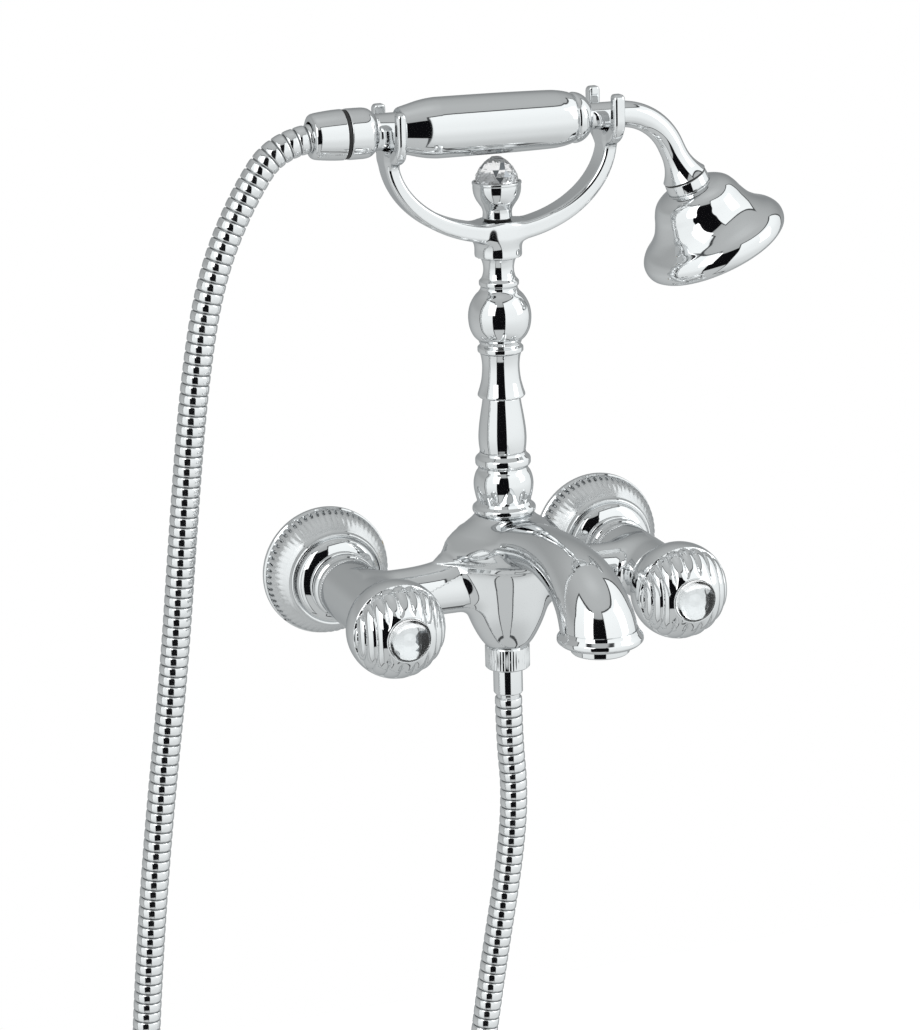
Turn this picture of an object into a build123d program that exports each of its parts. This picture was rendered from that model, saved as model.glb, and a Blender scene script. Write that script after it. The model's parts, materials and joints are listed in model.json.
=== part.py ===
from build123d import *
from math import atan, cos, degrees, pi, radians, sin, sqrt, tan
import os

# Wall-held bath mixer with a cradle, a hand shower and a ribbed hose, in millimetres.
# X runs along the wall, +Y into the wall and +Z up.
# The origin lies on the wall plane, midway between the two water inlets.
os.makedirs("parts", exist_ok=True)

# Fits
fit = 0.1
running_fit = 0.06
seat_gap = 0.3

# Wall side: unions, rosettes and union nuts
inlet_spacing = 150.0
wall_thread_radius = 10.48
wall_thread_length = 16.0
union_radius = 10.0
union_bore = 7.0
union_length = 28.5
union_flange_radius = 12.5
union_flange = 3.0
seal_thickness = 2.0
rosette_radius = 33.4
rosette_wall = 1.6
rosette_rim = 2.4
lip_radius = 24.0
lip_out = 20.6
dome_radius = 17.6
dome_out = 26.3
nut_radius = 17.1
nut_length = 15.2

# Valve barrels and valves
barrel_radius = 16.0
barrel_length = 46.0
stub_length = 8.3
valve_bore = 9.8
valve_depth = 22.0
seat_bore = 6.5
headwork_head_radius = 13.5
headwork_head = 5.0
spindle_radius = 4.0
spindle_length = 26.0
disc_thickness = 2.5

# Knobs
knob_radius = 25.2
knob_depth = 38.0
knob_gap = 1.2
knob_middle = 15.4
bezel_radius = 10.9
bezel_height = 2.6
crystal_radius = 9.6
crystal_height = 2.4
screw_radius = 2.0

# Body casting
column_out = 64.7
arm_radius = 13.2
arm_height = 2.6
gallery_bore = 6.0
trunk_top = 38.0
column_seat = 18.0
trunk_bottom = -31.0
belly_radius = 25.6
shoulder_radius = 29.0
shoulder_height = 22.0
outlet_radius = 11.4
outlet_thread = 8.0
chamber_bore = 8.0
chamber_floor = -2.0
outlet_bore = 5.5
spout_out = 188.5
spout_mouth = 6.0
spout_bead_radius = 20.6
spout_rise = 31.4
spout_bore = 7.0
way_root = 20.0
way_height = 30.0
way_run = 46.0
way_first_bend = 40.0
way_last_bend = 15.0
aerator_thread_radius = 13.0

# Aerator
aerator_radius = 14.0
aerator_drop = 4.6
aerator_wall = 1.6
aerator_height = 10.0

# Column
tube_radius = 5.0
tube_bore = 2.9
rod_radius = 2.5
gland_height = 8.0
base_length = 32.0
vase_length = 28.0
spool_length = 27.0
ball_length = 41.4
boss_length = 20.6
boss_radius = 11.6

# Cradle
cradle_half_width = 60.5
cradle_depth = 47.0
cradle_rise = 37.0
band_side = 7.0
band_bottom = 9.0
band_width = 12.0
fork_spread = 32.0
fork_base = 6.0
prong_width = 6.0
prong_length = 6.4
prong_rise = 23.0
prong_round = 2.5
fork_corner = 9.0
notch_round = 9.0
left_notch_rise = 2.7
right_notch_rise = 3.8

# Diverter
finial_gap = 0.8
cup_radius = 12.0
cup_length = 18.2
dome_height = 12.5
plug_low = -1.5
plug_height = 31.2
plug_way = 4.0
plug_port_middle = 5.2
plug_port = 5.4
plug_slot = 3.0
seal_depth = 1.6
seal_height = 2.6

# Hand shower, measured along its own axis from the middle of the cradle
connector_neck = 8.9
swan_radius = 6.5
connector_radius = 12.25
grip_start = 9.0 - cradle_half_width
grip_end = cradle_half_width - 23.0
connector_shoulder = grip_start - 15.5
ring_end = connector_shoulder - 11.2
ring_start = ring_end - 2.0
hose_seat = ring_start - 5.8
nut_start = hose_seat - 10.5
grip_radius = 14.7
grip_wall = 1.6
cap_end = grip_end + 9.0
waterway_radius = 5.2
waterway_bore = 4.0
swan_bend_radius = 30.0
swan_flare_radius = 10.9
swan_flare = 15.0
head_angle = 64.5
head_corner = cap_end + 35.5
head_reach = 37.5
collar_radius = 11.3
collar_height = 6.4
bell_radius = 37.4
bell_length = 37.0
bell_wall = 1.8
plate_thickness = 3.0

# Hose
hose_diameter = 14.0
hose_bore = 9.0
hose_groove = 0.8
hose_straight = 25.0
rib_count = 96
hose_nut_radius = 11.5
hose_nut_length = 12.2
ferrule_radius = 7.5
ferrule_length = 13.8
loop_radius = 86.0
loop_centre_x = -121.0
loop_centre_z = -472.0


def outline(start, *steps):
    """A closed face from points (a line to each) and pairs of points (an arc through one to the next)."""
    here = start
    edges = []
    for step in steps:
        if isinstance(step, list):
            edges.append(ThreePointArc(here, *step))
            here = step[-1]
        else:
            edges.append(Line(here, step))
            here = step
    edges.append(Line(here, start))
    return make_face(edges)


def turned(start, *steps):
    """A solid of revolution about Z from an outline of (radius, height) points."""
    return revolve(Plane.XZ * outline(start, *steps), Axis.Z, 360)


def rod(radius, low, high):
    """A plain cylinder about Z between two heights."""
    return Pos(0, 0, low) * extrude(Circle(radius), amount=high - low)


def ring(outer, inner, low, high):
    """A plain ring about Z between two heights."""
    return rod(outer, low, high) - rod(inner, low - 1, high + 1)


def save(solid, name):
    export_step(solid, f"parts/{name}.step")
    print(name, round(solid.volume))


def from_wall(x):
    """Local Z points straight out of the wall, from the wall plane at x."""
    return Plane(origin=(x, 0, 0), x_dir=(1, 0, 0), z_dir=(0, -1, 0)).location


column = Pos(0, -column_out, 0)

# Heights that the column's pieces and the cradle share
base_top = trunk_top + base_length
vase_top = base_top + vase_length
spool_top = vase_top + spool_length
column_top = spool_top + ball_length
boss_top = column_top + boss_length
cradle_centre = boss_top + cradle_rise
prong_top = cradle_centre + prong_rise
left_notch = cradle_centre + left_notch_rise
right_notch = cradle_centre + right_notch_rise

# Distances out from the wall that the neighbouring pieces share
flange_out = union_length + union_flange
inlet_face = flange_out + seal_thickness
barrel_back = inlet_face + stub_length
barrel_front = barrel_back + barrel_length
nut_back = dome_out + 0.2
head_out = barrel_front
knob_back = head_out + headwork_head + knob_gap
seat_out = barrel_front - valve_depth


# Wall unions, rosettes and union nuts
def wall_union():
    solid = rod(wall_thread_radius, -wall_thread_length, 0)
    solid += rod(union_radius, 0, flange_out)
    solid += rod(union_flange_radius, union_length, flange_out)
    return solid - rod(union_bore, -wall_thread_length - 1, flange_out + 1)


def rosette():
    hole = union_radius + fit
    inner_lip = lip_radius - rosette_wall
    shell = turned(
        (rosette_radius - rosette_wall, 0),
        (rosette_radius, 0),
        (rosette_radius, rosette_rim),
        [(rosette_radius - 0.8, 6.6), (rosette_radius - 3.0, 10.4)],
        (lip_radius, lip_out),
        (inner_lip, lip_out),
        (dome_radius + 2.4, dome_out - 2.6),
        [(dome_radius + 1.8, dome_out - 0.9), (dome_radius, dome_out)],
        (hole, dome_out),
        (hole, dome_out - rosette_wall),
        (dome_radius - 1.5, dome_out - rosette_wall),
        (lip_radius - 4.0, lip_out - 2.6),
        (lip_radius + 1.6, lip_out - 8.0),
        (rosette_radius - 3.6, rosette_rim + 3.6),
    )
    return shell


def union_nut():
    end = nut_back + nut_length
    solid = turned(
        (union_radius + fit, nut_back),
        (nut_radius - 1.2, nut_back),
        [(nut_radius, nut_back + 1.7), (nut_radius - 1.2, nut_back + 3.4)],
        (nut_radius - 1.2, nut_back + 4.0),
        [(nut_radius - 0.3, nut_back + 6.4), (nut_radius - 1.4, nut_back + 8.8)],
        (nut_radius - 1.4, end - 3.0),
        [(nut_radius - 0.6, end - 1.6), (nut_radius - 1.4, end - 0.2)],
        (union_flange_radius + 0.4, end - 0.2),
        (union_flange_radius + 0.4, union_length - 0.1),
        (union_radius + fit, union_length - 0.1),
    )
    return solid


# Body casting: two barrels, two arms, a trunk, a spout and an outlet below
def barrel():
    solid = rod(barrel_radius, barrel_back, barrel_front)
    solid = chamfer(solid.edges().filter_by(GeomType.CIRCLE), 0.8)
    return solid + rod(union_flange_radius + 0.3, inlet_face, barrel_back + 2)


def barrel_cuts():
    front = rod(valve_bore, seat_out, barrel_front + 1)
    way = rod(seat_bore, inlet_face - 1, seat_out + 1)
    return front + way


def trunk():
    """A pear below and a wide shoulder above that draws in to the column's seat."""
    return turned(
        (0, trunk_bottom - outlet_thread),
        (outlet_radius - 1.2, trunk_bottom - outlet_thread),
        (outlet_radius - 1.2, trunk_bottom),
        (outlet_radius, trunk_bottom),
        [(belly_radius - 7.5, trunk_bottom + 10.0), (belly_radius - 4.7, trunk_bottom + 17.3)],
        [(belly_radius - 1.6, trunk_bottom + 31.0), (belly_radius, shoulder_height - 7.0)],
        (shoulder_radius - 0.8, shoulder_height - 2.0),
        [(shoulder_radius, shoulder_height), (shoulder_radius - 0.6, shoulder_height + 2.2)],
        (shoulder_radius - 8.4, trunk_top - 5.0),
        [(shoulder_radius - 12.0, trunk_top - 2.4), (shoulder_radius - 14.6, trunk_top)],
        (0, trunk_top),
    )


# The spout's sections: share of its reach, share of its rise, radius and slope
spout_reach = spout_out - column_out
spout_stations = [
    (-0.03, 0.67, 12.0, 4),
    (0.18, 0.89, 13.6, 7),
    (0.39, 0.99, 12.9, 2),
    (0.60, 1.00, 14.2, -4),
    (0.77, 0.94, 16.4, -17),
    (0.905, 0.70, 18.0, -48),
    (1.0, 0.32, 18.6, -90),
]


def spout():
    sections = []
    for share, rise, radius, slope in spout_stations:
        middle = (0, -column_out - share * spout_reach, rise * spout_rise)
        along = (0, -cos(radians(slope)), sin(radians(slope)))
        sections.append(Plane(origin=middle, x_dir=(1, 0, 0), z_dir=along) * Circle(radius))
    tube = loft(sections)
    mouth = Pos(0, -spout_out, 0) * turned(
        (0, spout_mouth),
        (spout_bead_radius - 1.6, spout_mouth),
        [(spout_bead_radius, spout_mouth + 2.6), (18.6, spout_mouth + 5.2)],
        (0, spout_mouth + 5.2),
    )
    return tube + mouth


def spout_cuts():
    """The waterway from the column's chamber to the mouth, and the aerator's socket."""
    seat_height = spout_mouth + aerator_height - aerator_drop
    path = FilletPolyline(
        (0, -column_out, way_root),
        (0, -column_out - way_run, way_height),
        (0, -spout_out, way_height),
        (0, -spout_out, seat_height),
        radius=[way_first_bend, way_last_bend],
    )
    start = Plane(origin=path @ 0, x_dir=(1, 0, 0), z_dir=path % 0)
    way = sweep(start * Circle(spout_bore), path=path)
    socket = Pos(0, -spout_out, 0) * rod(aerator_thread_radius, spout_mouth - 1, seat_height)
    return way + socket


def arm():
    length = inlet_spacing / 2
    bar = extrude(Circle(arm_radius), amount=length)
    return Plane(origin=(0, -column_out, arm_height), x_dir=(0, 1, 0), z_dir=(1, 0, 0)) * bar


def body_casting():
    half = inlet_spacing / 2
    solid = column * trunk()
    bar = arm()
    solid += bar
    solid += mirror(bar, Plane.YZ)
    for x in (-half, half):
        solid += from_wall(x) * barrel()
    solid += spout()
    solid -= column * rod(column_seat, trunk_top, 2 * trunk_top)
    gallery = Plane(origin=(-half, -column_out, 0), x_dir=(0, 1, 0), z_dir=(1, 0, 0))
    solid -= gallery * extrude(Circle(gallery_bore), amount=inlet_spacing)
    for x in (-half, half):
        solid -= from_wall(x) * barrel_cuts()
    solid -= column * rod(chamber_bore, chamber_floor, trunk_top + 1)
    solid -= column * rod(outlet_bore, trunk_bottom - outlet_thread - 1, chamber_floor + 1)
    solid -= spout_cuts()
    return solid


# Valve parts, along the barrel's axis
def headwork():
    body_radius = valve_bore - fit
    solid = rod(body_radius, seat_out + seal_thickness + disc_thickness, head_out)
    head = extrude(RegularPolygon(headwork_head_radius, 6), amount=headwork_head)
    solid += Pos(0, 0, head_out) * head
    low = seat_out + seal_thickness + disc_thickness
    return solid - rod(spindle_radius + running_fit, low - 1, head_out + headwork_head + 1)


def valve_seal():
    return ring(valve_bore - fit, seat_bore, seat_out, seat_out + seal_thickness)


def valve_disc():
    low = seat_out + seal_thickness
    disc = rod(valve_bore - 0.4, low + 0.02, low + disc_thickness - 0.02)
    port = Pos(0, seat_bore / 2, low - 1) * extrude(Ellipse(4.6, 2.4), amount=disc_thickness + 2)
    return disc - port


def spindle():
    low = seat_out + seal_thickness + disc_thickness
    solid = rod(spindle_radius, low + 0.02, low + spindle_length)
    return solid - rod(screw_radius + 0.02, low + spindle_length - 8, low + spindle_length + 1)


spindle_end = seat_out + seal_thickness + disc_thickness + spindle_length
knob_front = knob_back + knob_depth - bezel_height


def knob():
    """A ball cut square at the back and drawn in to the bezel's seat."""
    middle = knob_back + knob_middle
    back = sqrt(knob_radius**2 - knob_middle**2)
    shoulder = radians(52)
    body = turned(
        (spindle_radius + 4.0, knob_back),
        (back, knob_back),
        [(knob_radius, middle),
         (knob_radius * cos(shoulder), middle + knob_radius * sin(shoulder))],
        (bezel_radius + 0.2, knob_front),
        (screw_radius + 3.0, knob_front),
        (screw_radius + 3.0, spindle_end),
        (spindle_radius, spindle_end),
        (spindle_radius, knob_back + 6.0),
        (spindle_radius + 4.0, knob_back + 6.0),
    )
    return body


def bezel():
    return turned(
        (crystal_radius + 0.05, knob_front),
        (bezel_radius, knob_front),
        [(bezel_radius - 0.2, knob_front + 1.7), (crystal_radius + 0.5, knob_front + bezel_height)],
        (crystal_radius + 0.05, knob_front + bezel_height),
    )


def crystal():
    return turned(
        (0, knob_front + 0.02),
        (crystal_radius, knob_front + 0.02),
        (crystal_radius, knob_front + bezel_height - 0.2),
        (crystal_radius * 0.78, knob_front + bezel_height + crystal_height * 0.6),
        (crystal_radius * 0.5, knob_front + bezel_height + crystal_height),
        (0, knob_front + bezel_height + crystal_height),
    )


def knob_screw():
    low = spindle_end - 7.0
    head = rod(screw_radius + 2.4, spindle_end, spindle_end + 2.6)
    slot = Pos(0, 0, spindle_end + 2.0) * Box(8, 0.9, 1.4)
    return rod(screw_radius, low, spindle_end) + head - slot


for side, x in (("left", -inlet_spacing / 2), ("right", inlet_spacing / 2)):
    place = from_wall(x)
    save(place * wall_union(), f"{side}_wall_union")
    save(place * rosette(), f"{side}_rosette")
    save(place * union_nut(), f"{side}_union_nut")
    seal = ring(union_flange_radius, union_bore, flange_out, inlet_face)
    save(place * seal, f"{side}_union_seal")
    save(place * valve_seal(), f"{side}_valve_seal")
    save(place * headwork(), f"{side}_headwork")
    save(place * valve_disc(), f"{side}_valve_disc")
    save(place * spindle(), f"{side}_spindle")
    save(place * knob(), f"{side}_knob")
    save(place * bezel(), f"{side}_bezel")
    save(place * crystal(), f"{side}_crystal")
    save(place * knob_screw(), f"{side}_knob_screw")

save(body_casting(), "body_casting")

# Aerator, along a vertical axis under the spout's mouth
mouth_place = Pos(0, -spout_out, spout_mouth)
aerator_low = -aerator_drop
aerator_high = aerator_height - aerator_drop
housing = rod(aerator_thread_radius - fit, 0, aerator_high - 1.5)
housing += rod(aerator_radius, aerator_low, 0)
housing -= rod(aerator_radius - aerator_wall - 1, aerator_low - 1, aerator_high)
save(mouth_place * housing, "aerator_housing")
insert_radius = aerator_radius - aerator_wall - 1 - fit
insert = rod(insert_radius, aerator_low + 1.0, aerator_high - 1.5)
for turn in range(8):
    insert -= Rot(0, 0, 45 * turn) * Pos(6.6, 0, 0) * rod(1.6, aerator_low, aerator_high)
save(mouth_place * insert, "aerator_insert")
seal_high = aerator_high - 0.02
save(mouth_place * ring(aerator_thread_radius - fit, 8.5, aerator_high - 1.48, seal_high), "aerator_seal")

# Column pieces, each with a hole for the tie tube
tube_hole = rod(tube_radius + fit, trunk_top - 1, boss_top + 1)


def column_piece(start, *steps):
    return column * (turned(start, *steps) - tube_hole)


save(column_piece(
    (0, trunk_top),
    (14.2, trunk_top),
    (14.4, trunk_top + 0.3),
    [(16.0, trunk_top + 2.5), (14.4, trunk_top + 5.0)],
    (13.5, trunk_top + 6.6),
    (14.8, trunk_top + 13.0),
    [(14.6, base_top - 13.0), (12.4, base_top - 8.6)],
    (12.4, base_top - 7.8),
    [(13.95, base_top - 4.7), (12.0, base_top - 1.4)],
    (11.6, base_top - 1.0),
    (11.6, base_top),
    (0, base_top),
), "column_base")
save(column_piece(
    (0, base_top),
    (11.5, base_top),
    (11.95, base_top + 6.0),
    (11.6, base_top + 13.0),
    (9.6, vase_top - 1.6),
    (9.5, vase_top),
    (0, vase_top),
), "column_vase")
save(column_piece(
    (0, vase_top),
    (11.2, vase_top),
    (11.8, vase_top + 0.6),
    (11.7, vase_top + 1.8),
    [(9.3, (vase_top + spool_top) / 2), (10.4, spool_top - 4.6)],
    [(11.4, spool_top - 2.7), (10.3, spool_top - 0.8)],
    (10.0, spool_top),
    (0, spool_top),
), "column_spool")
save(column_piece(
    (0, spool_top),
    (10.2, spool_top),
    (10.6, spool_top + 1.0),
    (14.4, spool_top + 6.0),
    [(16.1, spool_top + ball_length / 3), (13.6, spool_top + 0.54 * ball_length)],
    (9.4, column_top - 14.6),
    (9.1, column_top - 12.8),
    [(9.9, column_top - 10.8), (8.9, column_top - 8.6)],
    [(7.6, column_top - 4.8), (8.8, column_top - 1.0)],
    (9.6, column_top),
    (0, column_top),
), "column_ball")
tie_tube = ring(tube_radius, tube_bore, trunk_top - gland_height + 2, boss_top - 4)
save(column * tie_tube, "column_tube")
gland = ring(chamber_bore - fit, tube_radius + fit, trunk_top - gland_height, trunk_top - 0.02)
save(column * gland, "diverter_gland")

# Cradle: half-oval band, forks with two prongs at each end, and a middle boss
cradle_out = column_out + 4.7
notch_x = cradle_half_width - band_side / 2 - 1.0


def fork(x, floor):
    """Two prongs rising from a rounded base, across the band's end at x."""
    low = floor - fork_base
    tall = prong_top - low
    block = Pos(0, low + tall / 2) * Rectangle(fork_spread + prong_length, tall)
    block = fillet(block.vertices().group_by(Axis.Y)[0], fork_corner)
    block = fillet(block.vertices().group_by(Axis.Y)[-1], prong_round)
    notch = 2 * (prong_top - floor)
    slot = Pos(0, floor + notch / 2) * RectangleRounded(fork_spread - prong_length, notch, notch_round)
    side = Plane(origin=(x, -cradle_out, 0), x_dir=(0, 1, 0), z_dir=(1, 0, 0))
    return extrude(side * (block - slot), amount=prong_width / 2, both=True)


def cradle():
    outer = Ellipse(cradle_half_width, cradle_depth)
    inner = Ellipse(cradle_half_width - band_side, cradle_depth - band_bottom)
    lower = Pos(0, -cradle_depth) * Rectangle(4 * cradle_half_width, 2 * cradle_depth)
    half = (outer - inner) & lower
    plane = Plane(origin=(0, -cradle_out, cradle_centre), x_dir=(1, 0, 0), z_dir=(0, -1, 0))
    band = extrude(plane * half, amount=band_width / 2, both=True)
    solid = band + fork(-notch_x, left_notch) + fork(notch_x, right_notch)
    boss = column * turned(
        (0, column_top),
        (9.8, column_top),
        (boss_radius, column_top + 3.0),
        (boss_radius, boss_top - 8),
        (boss_radius - 1.5, boss_top),
        (0, boss_top),
    )
    return solid + boss - column * rod(tube_radius + fit, column_top - 1, boss_top + 1)


save(cradle(), "cradle")

# Diverter: the knob above the cradle turns a rod and a plug down in the body
neck_low = boss_top + finial_gap
cup_rim = neck_low + cup_length
rod_top = neck_low + 12.0
cup = turned(
    (0, neck_low),
    (6.8, neck_low),
    (7.2, neck_low + 0.4),
    (7.2, neck_low + 4.4),
    (cup_radius - 1.4, neck_low + 9.8),
    [(cup_radius - 0.1, neck_low + 13.0), (cup_radius, neck_low + 16.4)],
    (cup_radius, cup_rim),
    (cup_radius - 1.1, cup_rim),
    (cup_radius - 1.1, cup_rim - 3.0),
    (0, cup_rim - 3.0),
)
cup -= rod(rod_radius + 0.02, neck_low - 1, rod_top)
save(column * cup, "diverter_knob")
dome = turned(
    (0, cup_rim - 2.98),
    (cup_radius - 1.2, cup_rim - 2.98),
    (cup_radius - 1.2, cup_rim + 1.4),
    (cup_radius - 2.4, cup_rim + 0.45 * dome_height),
    (cup_radius - 5.6, cup_rim + 0.78 * dome_height),
    (cup_radius - 9.4, cup_rim + dome_height),
    (0, cup_rim + dome_height),
)
save(column * dome, "diverter_crystal")


def plug():
    """A turning plug. Its upper way leads from the side inlets up and out to the spout.

    A quarter turn shuts that way and brings the slot under it to the inlets,
    which lets the water down to the hose.
    """
    top = plug_low + plug_height
    solid = rod(chamber_bore - running_fit, plug_low, top)
    solid -= Pos(0, 0, plug_port_middle) * Box(4 * chamber_bore, 2 * plug_way, plug_port)
    solid -= rod(plug_way, plug_port_middle, way_root)
    out = Plane(origin=(0, 0, way_root), x_dir=(1, 0, 0), z_dir=(0, -1, 0))
    solid -= out * extrude(Circle(plug_way + 1), amount=chamber_bore + 1)
    solid -= Pos(0, 0, plug_low + plug_slot / 2) * Box(1.5 * plug_way, 4 * chamber_bore, plug_slot)
    groove = ring(chamber_bore, chamber_bore - seal_depth, top - 2 - seal_height, top - 2)
    return solid - groove


plug_top = plug_low + plug_height
save(column * plug(), "diverter_plug")
seal = ring(chamber_bore - running_fit, chamber_bore - seal_depth + 0.02,
            plug_top - 2 - seal_height + 0.02, plug_top - 2.02)
save(column * seal, "diverter_seal")
save(column * rod(rod_radius, plug_top, rod_top - 0.02), "diverter_rod")

# Hand shower. Its two necks have unlike radii and lie in the two notches, so its axis
# leans a little. Local Z of its frame runs from the hose end to the head.
left_axis = left_notch + seat_gap + connector_neck
right_axis = right_notch + seat_gap + swan_radius
lean = degrees(atan((left_axis - right_axis) / (2 * notch_x)))
axis_height = (left_axis + right_axis) / 2
handset_frame = Pos(0, -cradle_out, axis_height) * Rot(0, 90 + lean, 0)


def handset_piece(start, *steps):
    return handset_frame * turned(start, *steps)


def handset_point(along):
    return (handset_frame * Pos(0, 0, along)).position


stub_radius = 9.6
stub_start = hose_seat + seal_thickness
save(handset_piece(
    (hose_diameter / 2 + 0.4, nut_start),
    (9.4, nut_start),
    [(10.9, nut_start + 0.7), (11.3, nut_start + 2.4)],
    (connector_radius, ring_start - 3.0),
    (connector_radius, ring_start),
    (stub_radius + fit, ring_start),
    (stub_radius + fit, hose_seat),
    (hose_diameter / 2 + 0.4, hose_seat),
), "hose_cone_nut")
save(handset_piece(
    (stub_radius + fit, ring_start + 0.02),
    (connector_radius - 0.3, ring_start + 0.02),
    (connector_radius + 0.1, (ring_start + ring_end) / 2),
    (connector_radius - 0.3, ring_end - 0.02),
    (stub_radius + fit, ring_end - 0.02),
), "cone_nut_ring")
save(handset_frame * ring(stub_radius, hose_bore / 2, hose_seat + 0.02, stub_start - 0.02), "hose_end_washer")
save(handset_piece(
    (waterway_bore, stub_start),
    (stub_radius, stub_start),
    (stub_radius, ring_end),
    (connector_radius, ring_end),
    (connector_radius, connector_shoulder),
    [(connector_radius - 0.8, connector_shoulder + 2.2), (connector_neck, connector_shoulder + 3.0)],
    (connector_neck, grip_start),
    (waterway_radius + fit, grip_start),
    (waterway_radius + fit, grip_start - 8.0),
    (waterway_bore, grip_start - 8.0),
), "handset_connector")
save(handset_piece(
    (waterway_radius + fit, grip_start),
    (11.5, grip_start),
    (12.4, grip_start + 4.0),
    [(14.0, grip_start + 10.0), (grip_radius, grip_start + 17.0)],
    (grip_radius - 0.7, grip_end - 10.0),
    [(grip_radius - 1.6, grip_end - 4.0), (12.2, grip_end)],
    (8.6, grip_end),
    (8.6, grip_end - 3.0),
    (grip_radius - 0.7 - grip_wall, grip_end - 10.0),
    (grip_radius - grip_wall, grip_start + 17.0),
    (9.5, grip_start + 4.0),
    (waterway_radius + fit, grip_start + 4.0),
), "handset_grip")
save(handset_piece(
    (waterway_radius + fit, grip_end - 2.9),
    (8.5, grip_end - 2.9),
    (8.5, grip_end),
    (12.4, grip_end),
    [(11.6, grip_end + 4.0), (swan_radius + 1.2, cap_end)],
    (waterway_radius + fit, cap_end),
), "grip_end_cap")
save(handset_frame * ring(waterway_radius, waterway_bore, grip_start - 7.98, cap_end - 4.0), "handset_tube")

# Swan neck: a straight run, a bend, and a second run that flares to the collar
half_turn = tan(radians(head_angle / 2))
bend_start = head_corner - swan_bend_radius * half_turn
run_out = head_reach - swan_bend_radius * half_turn
bend_axis = Axis((swan_bend_radius, 0, bend_start), (0, 1, 0))
bend_end = Pos(swan_bend_radius, 0, bend_start) * Rot(0, head_angle, 0) * Pos(-swan_bend_radius, 0, 0)


def swan_tube(radius):
    """A plain tube's outer form along both runs and the bend."""
    section = Pos(0, 0, bend_start) * Circle(radius)
    bend = revolve(section, bend_axis, head_angle)
    return rod(radius, cap_end, bend_start) + bend + bend_end * rod(radius, 0, run_out)


flare = bend_end * turned(
    (0, run_out - swan_flare),
    (swan_radius, run_out - swan_flare),
    [(swan_radius + 1.1, run_out - swan_flare / 2), (swan_flare_radius, run_out)],
    (0, run_out),
)
swan = swan_tube(swan_radius) + flare - swan_tube(waterway_bore)
save(handset_frame * swan, "swan_neck")

# Head: collar, bell, seal and spray plate about the swan neck's last direction
head_frame = handset_frame * bend_end * Pos(0, 0, run_out)
save(head_frame * ring(collar_radius, waterway_bore, 0.02, collar_height), "head_collar")
bell_start = collar_height + 0.02
plate_low = bell_length - plate_thickness
plate_seat = bell_radius - bell_wall - 2.6
save(head_frame * Pos(0, 0, bell_start) * turned(
    (waterway_bore, 0),
    (14.5, 0.4),
    [(18.6, 2.0), (21.4, 5.6)],
    (23.6, 10.4),
    [(27.6, 18.2), (bell_radius - 4.0, bell_length - 12.6)],
    [(bell_radius, bell_length - 5.4), (bell_radius - 3.6, bell_length)],
    (plate_seat, bell_length),
    (plate_seat, plate_low),
    (plate_seat - 1.4, plate_low),
    (24.6, 18.0),
    (19.6, 7.0),
    (12.0, 3.4),
    (waterway_bore, 3.0),
), "spray_head")
plate = rod(plate_seat - 1.2, plate_low + 0.02, bell_length - 0.4)
for ring_radius, nozzles in ((12.0, 6), (24.0, 12)):
    for turn in range(nozzles):
        place = Rot(0, 0, 360 / nozzles * turn) * Pos(ring_radius, 0, 0)
        plate -= place * rod(0.9, plate_low, bell_length)
save(head_frame * Pos(0, 0, bell_start) * plate, "spray_plate")
save(head_frame * Pos(0, 0, bell_start) * ring(plate_seat - 0.05, plate_seat - 1.15, plate_low + 0.02,
                                                bell_length - 0.4), "spray_seal")

# Hose nut and ferrule under the body's outlet
nut_top = trunk_bottom - 0.3
ferrule_top = nut_top - hose_nut_length
ferrule_low = ferrule_top - ferrule_length
thread_low = trunk_bottom - outlet_thread
hose_nut = turned(
    (ferrule_radius + fit, ferrule_top),
    (hose_nut_radius - 0.8, ferrule_top),
    (hose_nut_radius, ferrule_top + 0.8),
    (hose_nut_radius, nut_top - 0.8),
    (hose_nut_radius - 0.6, nut_top),
    (outlet_radius - 1.2 + fit, nut_top),
    (outlet_radius - 1.2 + fit, thread_low - seal_thickness),
    (ferrule_radius + fit, thread_low - seal_thickness),
)
save(column * hose_nut, "hose_nut")
washer = ring(outlet_radius - 1.3, outlet_bore, thread_low - seal_thickness + 0.02, thread_low - 0.02)
save(column * washer, "hose_washer")
ferrule = ring(ferrule_radius, hose_bore / 2, ferrule_low, thread_low - seal_thickness)
save(column * ferrule, "hose_ferrule")

# Hose: chosen points from the cone nut, down the left leg, round the loop and up to the ferrule
left_leg = [
    (-131.0, -68.0, 209.0),
    (-148.5, -68.0, 171.0),
    (-159.0, -68.0, 119.0),
    (-167.5, -68.0, 51.0),
    (-175.6, -68.0, -20.0),
    (-187.0, -68.0, -95.0),
    (-196.0, -67.6, -170.0),
    (-203.0, -67.2, -250.0),
    (-207.5, -67.0, -330.0),
    (-207.0, -66.6, -405.0),
]
right_leg = [
    (-33.5, -65.4, -400.0),
    (-31.0, -65.2, -328.0),
    (-20.5, -65.0, -258.0),
    (-11.0, -64.9, -200.0),
    (-1.5, -64.8, -150.0),
    (2.4, -64.8, -113.0),
]
turn_step = 30.0
corner_radius = loop_radius / cos(radians(turn_step / 2))
loop = []
for step in range(6):
    angle = radians(180 + turn_step / 2 + turn_step * step)
    across = loop_centre_x + corner_radius * cos(angle)
    loop.append((across, -66.2, loop_centre_z + corner_radius * sin(angle)))
start = handset_point(hose_seat)
first_bend = handset_point(hose_seat - hose_straight)
outlet_end = (0, -column_out, ferrule_low)
last_bend = (0, -column_out, ferrule_low - hose_straight)
route = [start, first_bend, *left_leg, *loop, *right_leg, last_bend, outlet_end]
points = [Vector(*point) for point in route]
runs = [(b - a).length for a, b in zip(points, points[1:])]
turns = [(b - a).get_angle(c - b) for a, b, c in zip(points, points[1:], points[2:])]
radii = [0.45 * min(a, b) / tan(radians(turn / 2)) for a, b, turn in zip(runs, runs[1:], turns)]
route_line = FilletPolyline(*points, radius=radii)
print("runs", [round(run, 1) for run in runs])
print("turns", [round(turn, 1) for turn in turns])
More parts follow.
